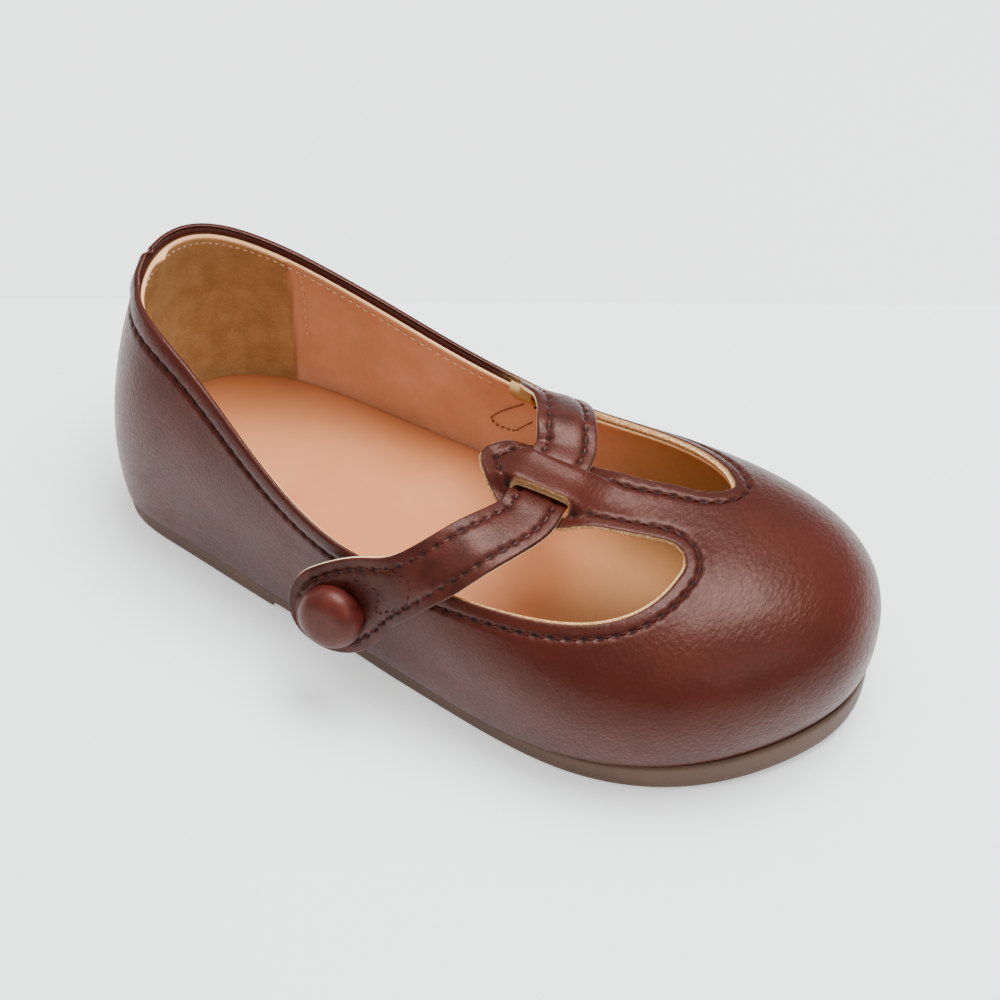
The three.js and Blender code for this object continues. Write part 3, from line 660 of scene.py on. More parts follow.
def bar_half_width(x):
    share = (x - bar_tip) / TAB_LENGTH
    tab_end = TAB["along"][-1]
    into = np.clip((x - bar_root + BAR_FILLET) / BAR_FILLET, 0, 1)
    fillet = BAR_FILLET * (1 - np.sqrt(1 - into**2))
    blend = smooth((share - tab_end) / (1.15 - tab_end))
    end_half = tab_half_share(tab_end) * TAB_WIDTH
    rest = end_half + (BAR_WIDTH / 2 - end_half) * blend + fillet
    return np.where(share < tab_end, tab_half_share(share) * TAB_WIDTH, rest)


def bar_buckle(x, across):
    fade = 1 - smooth((np.abs(x - strap_cross) - BUCKLE_FLAT) / BUCKLE_FADE)
    slit, reach = SLIT_SPACING / 2, 1.5
    under = smooth((np.abs(across) - slit + reach) / (2 * reach))
    return TAB_BUCKLE * fade * (1 - 2 * under)


def bell(distance, width, power=2):
    """1 at no distance, falling away smoothly past a width."""
    return np.exp(-((distance / width) ** power))


def gone_along(path):
    """How far each place of a path is from its start."""
    return np.append(0, np.cumsum(np.linalg.norm(np.diff(path, axis=0), axis=1)))


def read_off(at, along, path):
    """The places of a path at other distances along it."""
    return np.stack([np.interp(at, along, column) for column in path.T], -1)


def resampled(path, spacing, closed=False, soften=0.0):
    """A path with even steps, its corners softened over a length."""
    if closed:
        path = np.vstack((path, path[:1]))
    gone = gone_along(path)
    count = max(int(round(gone[-1] / spacing)), 3)
    even = read_off(np.linspace(0, gone[-1], count + 1), gone, path)
    if closed:
        even = even[:-1]
    for _ in range(int(round(2 * (soften / spacing) ** 2))):
        before, after = np.roll(even, 1, axis=0), np.roll(even, -1, axis=0)
        if not closed:
            before[0], after[-1] = even[0], even[-1]
        even = even / 2 + (before + after) / 4
    return even


def inside(places, ring):
    """Which places lie in a closed ring, seen from above."""
    found = []
    (ax, ay), (bx, by) = ring.T, np.roll(ring, -1, axis=0).T
    rise = np.where(np.abs(by - ay) < 1e-12, 1e-12, by - ay)
    for part in np.array_split(places, max(len(places) // 4000, 1)):
        x, y = part[:, :1], part[:, 1:]
        crosses = (ay > y) != (by > y)
        found.append((crosses & (x < ax + (y - ay) * (bx - ax) / rise)).sum(1) % 2 == 1)
    return np.concatenate(found)


class Near:
    """Finds the nearest place of a path and how far it is."""

    def __init__(self, path):
        self.tree = kdtree.KDTree(len(path))
        for i, (x, y) in enumerate(path):
            self.tree.insert((x, y, 0), i)
        self.tree.balance()

    def of(self, places):
        found = [self.tree.find((x, y, 0))[1:] for x, y in places]
        return np.array([f[0] for f in found]), np.array([f[1] for f in found])


bar_steps = bar_tip + (bar_root - 0.12 - bar_tip) * np.linspace(0, 1, 160) ** 1.4
bar_sides = {}
for side in (-1, 1):
    turn, climb = from_above(bar_steps, bar_aside(bar_steps) + side * bar_half_width(bar_steps))
    kept = climb > edge_climb_at(turn)
    last_kept = int(np.argmin(kept)) if not kept.all() else len(kept)
    bar_sides[side] = (turn[:last_kept], climb[:last_kept])
outer_turn = bar_sides[-1][0][-1]
inner_turn = bar_sides[1][0][-1]
collar_turns = np.concatenate((
    np.arange(outer_turn - 0.3, 0, -0.4), np.arange(360, inner_turn + 0.3, -0.4)
))
opening = np.vstack((
    flat(collar_turns, edge_climb_at(collar_turns)),
    flat(*bar_sides[1])[::-1],
    flat(*bar_sides[-1]),
))
opening = resampled(resampled(opening, 0.3, True, 0.75), 0.5, True)
opening_turn, _ = from_flat(opening)
half_slit = SLIT_LENGTH / 2
slits = []
slit_middle = strap_cross + SLIT_AHEAD
for side in (-1, 1):
    ends = np.linspace(0, math.pi, 9)
    slit_x = np.concatenate((
        slit_middle + half_slit + SLIT_WIDTH / 2 * np.sin(ends),
        slit_middle - half_slit - SLIT_WIDTH / 2 * np.sin(ends),
    ))
    slit_side = np.concatenate((-np.cos(ends), np.cos(ends))) * SLIT_WIDTH / 2
    middle_x = np.clip(slit_x, slit_middle - half_slit, slit_middle + half_slit)
    slit_y = bar_aside(middle_x) + side * SLIT_SPACING / 2 + slit_side
    ring = resampled(np.stack((slit_x, slit_y), -1), 0.3, True)
    slits.append(resampled(flat(*from_above(ring[:, 0], ring[:, 1])), 0.4, True, 0.3))
seam_turns = np.arange(0, 360, 0.75)
seam_ring = flat(seam_turns, -tuck_at(seam_turns))

# How the opening's edge is finished, round the turns of the shoe: how far below the edge it is
# stitched, how proud the turned edge stands, and how far inside the lining ends.
EDGING = {
    "turn": (0, 25, 60, 85, 105, 140, 180, 220, 255, 275, 300, 335),
    "stitch": (4.6, 4.3, 4.1, 3.9, 3.1, 3.0, 2.8, 3.0, 3.1, 3.9, 4.1, 4.4),
    "proud": (0.5, 0.48, 0.45, 0.4, 0.15, 0.12, 0.1, 0.12, 0.15, 0.4, 0.45, 0.5),
    "lining": (0.9, 0.6, 0.3, 0.2, 0, 0, 0, 0, 0, 0.1, 0.2, 0.5),
    "raw": (0.8, 0.8, 0.8, 0.9, 1.3, 1.6, 1.6, 1.6, 1.5, 1, 0.9, 0.8),
}
stitch_below, proud_by, lining_below, raw_width = (
    cubic_through(EDGING["turn"], EDGING[key], 360) for key in ("stitch", "proud", "lining", "raw")
)
FOLD_ROWS = (0.03, 0.12, 0.27, 0.5, 0.8, 1.2, 1.7)
STITCH_ROWS = (-0.95, -0.6, -0.35, -0.15, 0.0, 0.15, 0.35, 0.6, 0.95, 1.5)
SLIT_ROWS = (0.12, 0.35, 0.8)
BACK_ROWS = (-2.6, -1.8, -1.1, -0.5, 0.0, 0.5, 1.1, 1.8, 2.6)
LEATHER_SPACING = 1.25
near_opening = Near(opening)
near_slits = Near(np.vstack(slits))


def drawn_in(ring, distance):
    """A closed ring moved into the leather by a distance that may vary along it."""
    ahead = np.roll(ring, -1, axis=0) - np.roll(ring, 1, axis=0)
    out = unit(np.stack((ahead[:, 1], -ahead[:, 0]), -1))
    area = (ring[:, 0] * np.roll(ring[:, 1], -1) - np.roll(ring[:, 0], -1) * ring[:, 1]).sum()
    return ring + out * np.sign(area) * np.broadcast_to(distance, len(ring))[:, None]


def kept_offset(distance):
    """The opening moved into the leather, and which of its places no other part comes near."""
    moved = drawn_in(opening, distance)
    _, gap = near_opening.of(moved)
    return moved, gap > np.broadcast_to(distance, len(moved)) - 0.06


def in_slits(places):
    return inside(places, slits[0]) | inside(places, slits[1])


row_stitch = stitch_below(opening_turn)
stitch_path, stitch_kept = kept_offset(row_stitch)
_, slit_gap = near_slits.of(stitch_path)
stitch_kept &= slit_gap > 1.0
runs, run = [], []
first = int(np.argmin(stitch_kept))
for k in np.roll(np.arange(len(opening)), -first):
    if stitch_kept[k]:
        run.append(stitch_path[k])
    elif run:
        runs.append(np.array(run))
        run = []
if run:
    runs.append(np.array(run))
STITCH_PITCH = 3.1
FEWEST_PLACES = 12
stitch_runs = [resampled(path, STITCH_PITCH) for path in runs if len(path) > FEWEST_PLACES]
near_holes = Near(np.vstack(stitch_runs))
pattern = [opening, *slits, seam_ring]
rings = len(pattern)
edges, count = [], 0
for ring in pattern:
    size = len(ring)
    edges += [(count + i, count + (i + 1) % size) for i in range(size)]
    count += size
for row in (*FOLD_ROWS, *(row_stitch + row for row in STITCH_ROWS)):
    moved, kept = kept_offset(row)
    pattern.append(moved[kept])
pattern += [drawn_in(ring, row) for ring in slits for row in SLIT_ROWS]
back_rows = np.concatenate([
    flat(np.full(60, turn % 360.0), np.linspace(-13, edge_climb_at(turn) - 3, 60))
    for turn in BACK_ROWS
])
pattern.append(back_rows)
low, high = seam_ring.min(0), seam_ring.max(0)
rows_across = np.arange(low[1], high[1], LEATHER_SPACING * math.sqrt(3) / 2)
hexes = np.concatenate([
    np.stack(np.broadcast_arrays(
        np.arange(low[0], high[0], LEATHER_SPACING) + (k % 2) * LEATHER_SPACING / 2, y
    ), -1)
    for k, y in enumerate(rows_across)
])
hexes = hexes[inside(hexes, seam_ring) & ~inside(hexes, opening)]
nearest, gap = near_opening.of(hexes)
_, slit_gap = near_slits.of(hexes)
_, seam_gap = Near(resampled(seam_ring, 0.4, True)).of(hexes)
beyond = gap > row_stitch[nearest] + 1.5 + 0.75
hexes = hexes[beyond & ~in_slits(hexes) & (slit_gap > 1.2) & (seam_gap > 0.7)]
_, back_gap = Near(back_rows).of(hexes)
pattern.append(hexes[back_gap > 0.8])
SAME_PLACE = 0.16
loose = np.vstack(pattern[rings:])
_, first_of = np.unique(np.round(loose / SAME_PLACE), axis=0, return_index=True)
loose = loose[np.sort(first_of)]
_, slit_gap = near_slits.of(loose)
loose = loose[~in_slits(loose) & (slit_gap > 0.08) & inside(loose, seam_ring)]
all_places = np.vstack((*pattern[:rings], loose))
cut, _, triangles, *_ = delaunay_2d_cdt(
    [Vector(place) for place in all_places], edges, [], 0, 1e-5, False
)
cut = np.array([tuple(place) for place in cut])
triangles = np.array([tuple(face) for face in triangles])
centres = cut[triangles].mean(1)
on_leather = inside(centres, seam_ring) & ~inside(centres, opening) & ~in_slits(centres)
triangles = triangles[on_leather]
used, packed = np.unique(triangles, return_inverse=True)
cut, triangles = cut[used], packed.reshape(-1, 3)
(ax, ay), (bx, by), (cx, cy) = (cut[triangles[:, k]].T for k in range(3))
clockwise = (bx - ax) * (cy - ay) - (by - ay) * (cx - ax) < 0
triangles[clockwise] = triangles[clockwise][:, ::-1]
cut_turn, cut_climb = from_flat(cut)
cut_nearest, cut_gap = near_opening.of(cut)
cut_gap[cut_gap < 0.02] = 0
_, cut_slit = near_slits.of(cut)
_, cut_hole = near_holes.of(cut)
below_stitch = cut_gap - row_stitch[cut_nearest]
TAB_MARGIN = 1.2
TAB_TO_ROOT = 12


def tab_lift(turn, climb):
    """How far the leather bows up, or down, where it is the tab."""
    below = last_point(turn, climb)
    across = below[:, 1] - bar_aside(np.clip(below[:, 0], bar_tip, bar_end))
    on_tab = (np.abs(across) < TAB_WIDTH / 2 + TAB_MARGIN) & (below[:, 0] < bar_root - TAB_TO_ROOT)
    on_tab &= climb > edge_climb_at(turn) + 1
    return np.where(on_tab, bar_buckle(below[:, 0], across), 0)


cut_normal = last_normal(cut_turn, cut_climb)
cut_buckle = tab_lift(cut_turn, cut_climb)

# The upper: glossy dark red-brown leather in one piece, closed by a seam down the back. Its edge
# is turned over and stitched down, which leaves a soft roll above a row of thread and pinholes.
LINING_THICKNESS = 0.85
WARM_GLOSS = (1, 0.6, 0.5, 1)
leather = Finish(
    "burnished_leather", Coat_Roughness=0.24, Specular_IOR_Level=0.2, Specular_Tint=WARM_GLOSS
)
grain = leather.cells(0.85, leather.place((1, 0.55, 1)))
fine_grain = leather.cells(0.42)
ripple = leather.cloud(1.6, 5, leather.place((1.4, 0.5, 1)))
burnish = leather.cloud(34, 3)
mottle = leather.cloud(7, 5)
toward_toe = leather.forward(0.0, 0.05)
raw, hole = leather.mark("raw"), leather.mark("hole")
raw_colour = leather.mix(fine_grain.between(0.1, 0.6), linear(226, 194, 152), linear(172, 128, 80))
leather.feed(
    Base_Color=leather.layered(
        leather.mix(burnish.between(0.32, 0.68), linear(50, 15, 9), linear(62, 21, 14)),
        (mottle.between(0.45, 0.75) * 0.35, linear(42, 10, 6)),
        # Darker along the turned edge, with painted shade in the groove of the stitch row.
        (leather.mark("edge") * 0.35, linear(44, 16, 12)),
        # Painted shade in the pinholes: the holes are shallow dents, and the dark inside them is
        # painted.
        (hole, linear(24, 9, 8)),
        (raw, raw_colour),
    ),
    Roughness=grain * 0.12 + mottle * 0.12 + 0.27 + (raw + hole) * 0.4,
    Coat_Weight=0.12 - mottle * 0.08,
)
leather_relief = grain * (toward_toe * 0.6 + 0.35) + fine_grain * 0.4
leather.relief(leather_relief + ripple * (toward_toe * 1.1 + 0.2), 0.16, 0.55)


def fold(distance, radius):
    """How far the face falls away at a rounded edge."""
    near_edge = np.clip(radius - distance, 0, radius)
    return radius - np.sqrt(radius**2 - near_edge**2)


cut_proud = proud_by(cut_turn)
fold_radius = (WALL + cut_proud - LINING_THICKNESS) / 2
groove = 0.15 * bell(below_stitch, 0.3) + 0.12 * smooth(1 - np.abs(below_stitch) / 1.1)
pillow = 0.12 * bell(below_stitch - 1.3, 0.8)
dimple = 0.36 * bell(cut_hole, 0.6)
slit_drop = fold(cut_slit, 0.35)
back_gap = np.where(cut_turn > 180, cut_turn - 360, cut_turn)
off_bar = cut_climb < 80
back_seam = (0.3 * bell(back_gap, 0.55) - 0.16 * bell(np.abs(back_gap) - 1.6, 0.7)) * off_bar
overlap = smooth((back_gap + 0.4) / 0.7) * (1 - smooth((back_gap - 7) / 5))
overlap = 0.42 * overlap - 0.35 * bell(back_gap + 0.75, 0.6)
standing = cut_proud * (1 - smooth((below_stitch + 0.95) / 0.95))
standing = standing + overlap * (1 - smooth((below_stitch + 0.9) / 0.7)) * off_bar
face_lift = standing - fold(cut_gap, fold_radius) - groove + pillow - dimple - slit_drop - back_seam
outer_face = last_point(cut_turn, cut_climb, WALL) + cut_normal * face_lift[:, None]
inner_lift = LINING_THICKNESS + fold(cut_gap, fold_radius)
inner_face = last_point(cut_turn, cut_climb, 0.0) + cut_normal * inner_lift[:, None]
for face in (outer_face, inner_face):
    face[:, 2] += cut_buckle


def two_faced(outer, inner, faces):
    """A closed sheet between two faces, with a strip along each of its edges."""
    size = len(outer)
    directed = {(a, b) for tri in faces.tolist() for a, b in zip(tri, tri[1:] + tri[:1])}
    rim = [(a, b) for a, b in directed if (b, a) not in directed]
    quads = [(b, a, a + size, b + size) for a, b in sorted(rim)]
    return np.vstack((outer, inner)), faces.tolist() + (faces[:, ::-1] + size).tolist() + quads


upper_points, upper_faces = two_faced(outer_face, inner_face, triangles)
# Darker along the turned edge, and painted shade in the groove of the stitch row below it.
edge_and_groove_darkening = bell(cut_gap, 0.9) + bell(below_stitch, 0.5)
at_window = smooth((raw_width(cut_turn) - 0.95) / 0.3) * (cut_climb < 89)
raw_slit = bell(cut_slit, 0.22)
raw_outside = np.maximum(raw_slit * 0.6, at_window * bell(cut_gap, 0.14))
raw_inside = np.maximum(raw_slit, at_window * (cut_gap < 2.2))
piece(
    "leather_upper", upper_points, upper_faces, leather, ("upper",), sharp=60, merge=2e-6,
    marks={
        "edge": np.tile(np.clip(edge_and_groove_darkening, 0, 1), 2),
        "hole": np.tile(bell(cut_hole, 0.62, 4), 2),
        "raw": np.concatenate((raw_outside, raw_inside)),
    },
)

# The thread of the upper: dark waxed thread, one stitch from pinhole to pinhole, sunk a little.
THREAD = 0.21
dark_thread = fibres(
    "dark_thread", 0.12, (0.3, 2), (52, 21, 16), (72, 33, 26), 0.6, 0.05, (0.3, 0.7)
)


def circle(count, ahead, aside):
    """Ways out from a middle to all sides, in even steps."""
    angles = np.arange(count) / count * 2 * math.pi
    return np.cos(angles)[:, None] * ahead + np.sin(angles)[:, None] * aside


def threads(name, stitches, finish, radius=THREAD, sink=0.32, rise=0.42):
    """Stitches given as pairs of ends and the way out of the leather, each a bent thread."""
    hoops, around = 7, 6
    points, faces = [], []
    for a, b, out in stitches:
        out = unit(out)
        sides = circle(around, np.cross(out, unit(b - a)), out)
        start, end = len(points) * around, (len(points) + hoops - 1) * around
        for t in np.linspace(0, 1, hoops):
            middle = a + (b - a) * t + out * (rise * math.sin(math.pi * t) - sink)
            swell = math.sin(math.pi * (0.06 + 0.88 * t))
            points.append(middle + sides * radius * swell**0.5)
        faces += wrap(hoops, around, start)
        faces += [tuple(range(start, start + around))[::-1], tuple(range(end, end + around))]
    piece(name, np.concatenate(points), faces, finish)


def stitched(points, outs, gap):
    """Stitches from point to point, each leaving a share of the step free at both ends."""
    return [
        (a + (b - a) * gap, b - (b - a) * gap, out) for a, b, out in zip(points, points[1:], outs)
    ]


topline_stitches = []
for path in stitch_runs:
    turn, climb = from_flat(path)
    points, out = last_point(turn, climb, WALL - 0.12), last_normal(turn, climb)
    points[:, 2] += tab_lift(turn, climb)
    topline_stitches += stitched(points, out[:-1] + out[1:], 0.21)
threads("topline_thread", topline_stitches, dark_thread)

# The lining: pinkish tan leather glued inside the upper, its cut edge left raw and pale below the
# turned edge. A darker suede counter lining goes round the heel between two upright seams.
lining_leather = Finish("lining_leather", Specular_IOR_Level=0.35)
nap = lining_leather.cloud(0.5, 4)
blotch = lining_leather.cloud(16, 4)
in_heel = lining_leather.mark("heel")
heel_suede = lining_leather.mix(
    lining_leather.cloud(5, 5).between(0.3, 0.75), linear(146, 115, 70), linear(166, 136, 90)
)
lining_leather.feed(
    Base_Color=lining_leather.layered(
        lining_leather.mix(blotch.between(0.3, 0.7), linear(192, 142, 110), linear(208, 160, 128)),
        # Darker and more olive towards the toe: partly the forefoot lining's own colour, partly
        # painted shade under the vamp.
        (lining_leather.forward(0.008, 0.03), linear(190, 148, 94)),
        (in_heel, heel_suede),
        (nap.between(0.45, 0.8) * 0.2, linear(228, 190, 156)),
        (lining_leather.mark("raw") * (1 - nap.between(0.5, 0.8) * 0.5), linear(224, 172, 122)),
        (lining_leather.mark("dark"), linear(120, 70, 45)),
    ),
    Roughness=nap * 0.2 + in_heel * 0.2 + 0.45,
)
lining_leather.relief(nap + lining_leather.cells(0.5) * 0.4, 0.1, 0.5)
LINING_TOP = 0.5
HEEL_LINING_TURN = 43.5


def per_degree(turn, climb):
    """How long a degree of climb is on the last."""
    return np.linalg.norm(last_point(turn, climb + 0.5) - last_point(turn, climb - 0.5), axis=1)


sheet = (cut_gap >= LINING_TOP - 0.06) & (cut_slit >= 0.06)
used, packed = np.unique(triangles[sheet[triangles].all(1)], return_inverse=True)
sheet_turn, sheet_climb, signed = cut_turn[used], cut_climb[used], back_gap[used]
edge_run = cut_gap[used] - LINING_TOP
lowered = lining_below(sheet_turn) * (1 - smooth(edge_run / 14)) / per_degree(sheet_turn, sheet_climb)
on_bar = sheet_climb > edge_climb_at(sheet_turn) + 1
sheet_climb = sheet_climb - np.where(on_bar, 0, lowered)
heel_share = smooth((HEEL_LINING_TURN - np.abs(signed)) / 0.8 + 0.5)
sheet_normal = last_normal(sheet_turn, sheet_climb)
back_fold = 0.9 * bell(signed + 3.5, 2.4) * smooth((sheet_climb - 8) / 30)
puff = 0.12 * bell(edge_run - 2.4, 0.5)
inward = back_fold + 0.25 * heel_share - fold(edge_run, 0.3) - puff
outer_skin = last_point(sheet_turn, sheet_climb)
inner_skin = outer_skin - sheet_normal * (inward - 0.12)[:, None]
outer_skin = outer_skin + sheet_normal * (LINING_THICKNESS - 0.08)
for face in (inner_skin, outer_skin):
    face[:, 2] += cut_buckle[used]
lining_points, lining_faces = two_faced(outer_skin, inner_skin, packed.reshape(-1, 3))
raw_edge = bell(edge_run, raw_width(sheet_turn))
sheet_dark = 0.5 * bell(np.abs(signed) - HEEL_LINING_TURN, 0.5)
piece(
    "lining", lining_points, lining_faces, lining_leather, sharp=60,
    marks={
        "raw": np.tile(raw_edge, 2),
        "heel": np.tile(heel_share, 2),
        "dark": np.tile(sheet_dark * (1 - raw_edge), 2),
    },
)

# The thread of the lining: pale, in a row below the collar's edge and up the heel's two seams.
pale_thread = fibres("pale_thread", 0.3, (0.3, 2), (206, 160, 122), (232, 196, 158), 0.55, 0.05)
LINING_PITCH = 2.6


def lining_row(turn, climb, level, pitch, gap):
    """A row of stitches on the lining's inner face."""
    path = resampled(np.column_stack((last_point(turn, climb, level), turn, climb)), pitch)
    return stitched(path[:, :3], -last_normal(path[:, 3], path[:, 4]), gap)


pale = []
for side in (1, -1):
    turn = (side * (HEEL_LINING_TURN + 3.2)) % 360
    climbs = np.linspace(2, edge_climb_at(turn) - 6, 60)
    points = resampled(last_point(turn, climbs, -0.1), LINING_PITCH)
    pale += stitched(points, -last_normal(turn, np.linspace(2, climbs[-1], len(points))), 0.2)
collar_row = np.concatenate((np.arange(78, 0, -0.5), np.arange(360, 276, -0.5)))
row_drop = lining_below(collar_row) + LINING_TOP + 2.4
row_climb = edge_climb_at(collar_row)
row_climb = row_climb - row_drop / per_degree(collar_row, row_climb)
pale += lining_row(collar_row, row_climb, -0.08, LINING_PITCH, 0.2)
threads("lining_thread", pale, pale_thread, radius=0.2, sink=0.04, rise=0.2)

# The stitches and pinholes on the inner wall where the strap's root is sewn in.
arrow_thread = fibres("arrow_thread", 0.2, (0.3, 2), (120, 70, 42), (150, 94, 60), 0.55)
ROOT_ARROW = ((272, 18), (276, 7), (278, 2), (277, 0.5), (274, 1), (271, 9))
ROOT_HOLES = ((273, 21), (270, 20))
root_stitches = lining_row(*np.array(ROOT_ARROW, float).T, -0.1, 1.7, 0.16)
threads("strap_root_thread", root_stitches, arrow_thread, radius=0.2, sink=0.16, rise=0.24)
# The two pinholes are short fat blobs of dark thread: painted shade standing in for the holes.
root_holes = []
for turn, climb in ROOT_HOLES:
    low, high = (last_point(turn + nudge, climb, -0.1) for nudge in (-0.25, 0.25))
    root_holes.append((low, high, -last_normal(turn, climb)))
threads("strap_root_holes", root_holes, dark_thread, radius=0.4, sink=0.3, rise=0.2)

# The folded end of the lining where the strap comes out: a short cream tongue of split leather,
# doubled over the lining's edge and glued down beside the strap.
TONGUE_TURNS = (269.4, 273.2)
TONGUE_RISE = (-9, -7, -5, -3.2, -1.6, -0.4, 0.4, 0.8, 0.6)
TONGUE_OUT = (-0.35, -0.6, -0.8, -0.95, -0.95, -0.75, -0.3, 0.3, 1.0)
TONGUE_THICKNESS = 0.7
TONGUE_COLUMNS = 11
tongue_leather = fibres("split_leather", 0.2, (0.5, 4), (158, 128, 78), (196, 162, 108), 0.7, 0.1)
tongue_turns = np.linspace(*TONGUE_TURNS, TONGUE_COLUMNS)
tongue_top = np.stack([
    last_point(tongue_turns, edge_climb_at(tongue_turns) + rise, out)
    for rise, out in zip(TONGUE_RISE, TONGUE_OUT)
])
tongue_way = unit(np.cross(np.gradient(tongue_top, axis=1), np.gradient(tongue_top, axis=0)))
tongue_way *= np.sign((tongue_way[2, 5] * -last_normal(271, 24)).sum())
tongue_under = tongue_top - tongue_way * TONGUE_THICKNESS
tongue_grid = np.array(wrap(len(TONGUE_RISE), TONGUE_COLUMNS, closed=False))
tongue = two_faced(tongue_top.reshape(-1, 3), tongue_under.reshape(-1, 3), tongue_grid)
piece("lining_tongue", *tongue, tongue_leather, sharp=50)

# The strap: a band of the same leather on a pale backing, cut and left raw at the edges, sewn along
# both sides. It comes out of the inner wall, dives through the tab's two slits and ends in a round
# tab that carries the button.
STRAP_THICKNESS = 1.6
STRAP_END_WIDTH = 20.6
BAR_PROUD = 0.12
STRAP_LYING = {
    "turn": (77, 82.5, 86.3, 90.6, 95.6, 101.8),
    "climb": (-4, 3.2, 12, 22, 37.5, 56),
    "off": (5.4, 2.6, 1.4, 1.15, 1.05, 0.9),
}
STRAP_BACK = {
    "turn": (253, 257.5, 262, 265, 266.5, 267.5, 268),
    "climb": (70, 60, 50, 44, 36, 28, 20),
    "off": (0.6, 0.5, 0.2, -0.5, -0.7, -0.7, -0.7),
}
STRAP_SLANT = 0.1


def lying(rows):
    turn, climb, off = (np.array(row, float) for row in rows.values())
    return last_point(turn, climb, WALL + off * STRAP_THICKNESS), last_normal(turn, climb)


def bar_point(x, across, grow):
    x, y = np.array([x]), bar_aside(np.array([x])) + across
    for _ in range(6):
        turn, climb = from_above(x, y)
        point = last_point(turn, climb, grow)
    return np.array([x[0], y[0], point[0, 2] + bar_buckle(x, across)[0]])


def on_bar_at(across, grow, away):
    x = strap_cross - STRAP_SLANT * max(across, 0)
    point = bar_point(x, across, grow)
    ahead = bar_point(x + 1, across, grow) - point
    out = unit(np.cross(ahead, (0, 1, 0)))
    return point + out * away, out


clear = GAP + BAR_PROUD + STRAP_THICKNESS / 2
over, under = (WALL, clear + 0.15), (0, -clear - 0.4)
tab_side = TAB_WIDTH / 2 + 1
slit_edge = SLIT_SPACING / 2 + 1.9
bridge_edge = SLIT_SPACING / 2 - 1.4
threaded = [
    on_bar_at(across, *level)
    for across, level in (
        (-tab_side, over), (-slit_edge, over), (-bridge_edge, under), (0, under),
        (bridge_edge, under), (slit_edge, over), (tab_side, over),
    )
]
strap_places, strap_out = (
    np.vstack((front, np.array(middle), rear))
    for front, middle, rear in zip(lying(STRAP_LYING), zip(*threaded), lying(STRAP_BACK))
)


def curve_through(points, shares):
    """The soft curve through points, evened out by the distance between them."""
    final = len(points) - 1
    padded = np.vstack((2 * points[0] - points[1], points, 2 * points[-1] - points[-2]))
    place = np.asarray(shares) * final
    i = np.clip(place.astype(int), 0, final - 1)
    w = (place - i)[:, None]
    p = [padded[i + k] for k in range(4)]
    steps = [np.linalg.norm(p[k + 1] - p[k], axis=1) for k in range(3)]
    d = [np.maximum(step**0.5, 1e-4)[:, None] for step in steps]
    t1 = (p[1] - p[0]) / d[0] - (p[2] - p[0]) / (d[0] + d[1]) + (p[2] - p[1]) / d[1]
    t2 = (p[2] - p[1]) / d[1] - (p[3] - p[1]) / (d[1] + d[2]) + (p[3] - p[2]) / d[2]
    t1, t2 = t1 * d[1], t2 * d[1]
    square = (-3 * p[1] + 3 * p[2] - 2 * t1 - t2) * w**2
    return p[1] + t1 * w + square + (2 * p[1] - 2 * p[2] + t1 + t2) * w**3


def strap_half_width(from_end):
    radius = STRAP_END_WIDTH / 2
    blend = smooth((from_end - 0.9 * radius) / (2.3 * radius))
    straight = radius + (STRAP_WIDTH / 2 - radius) * blend
    tip = np.sqrt(np.clip(radius**2 - (radius - np.minimum(from_end, radius)) ** 2, 0, None))
    return np.where(from_end >= radius, straight, tip)


fine = np.linspace(0, 1, 1500)
strap_path = curve_through(strap_places, fine)
strap_guide = curve_through(strap_places + 10 * strap_out, fine)
strap_gone = gone_along(strap_path)
strap_length = strap_gone[-1]


def softened(values, width):
    """Values along the strap evened out over a few steps."""
    reach = np.arange(-3 * width, 3 * width + 1)
    weight = np.exp(-((reach / width) ** 2) / 2)
    ends = np.vstack((
        2 * values[0] - values[1 : 3 * width + 1][::-1], values,
        2 * values[-1] - values[-3 * width - 1 : -1][::-1],
    ))
    return np.stack([np.convolve(way, weight / weight.sum(), "valid") for way in ends.T], -1)


even_run = np.linspace(0, strap_length, 700)
strap_path, strap_guide = (
    softened(read_off(even_run, strap_gone, path), 7) for path in (strap_path, strap_guide)
)
strap_ahead = unit(np.gradient(strap_path, axis=0))
strap_across = unit(np.cross(strap_ahead, strap_guide - strap_path))
strap_outward = unit(np.cross(strap_across, strap_ahead))


def strap_at(from_end, across=0.0, lift=0.0):
    """A place on the strap, how far from its round end and across it, and its way out."""
    from_end = np.atleast_1d(np.asarray(from_end, float))
    from_end, across, lift = np.broadcast_arrays(from_end, across, lift)
    point, across_way, out_way = (
        read_off(from_end, even_run, way) for way in (strap_path, strap_across, strap_outward)
    )
    return point + across_way * across[:, None] + out_way * lift[:, None], out_way


ROW_INSET = 2.4
ROW_START = 5.2
ROW_STOP = 9
STRAP_PITCH = 2.9
LEATHER_SHARE = 0.55
strap_rows = []
for side in (-1, 1):
    run = np.linspace(ROW_START, strap_length - ROW_STOP, 400)
    across = side * (strap_half_width(run) - ROW_INSET)
    gone = gone_along(strap_at(run, across)[0])
    at = np.arange(0, gone[-1], STRAP_PITCH)
    strap_rows.append((np.interp(at, gone, run), np.interp(at, gone, across)))
near_strap_holes = Near(np.hstack(strap_rows).T)
tip_runs = STRAP_END_WIDTH / 2 * (1 - np.cos(np.linspace(0.02, 1, 16) * math.pi / 2))
strap_runs = np.concatenate((tip_runs[:-1], np.arange(tip_runs[-1], strap_length, 0.55)))
inset = np.array((0, 0.04, 0.14, 0.3, 0.6, 1.1, 1.6, 1.95, 2.2, 2.4, 2.6, 2.85, 3.2, 3.8))


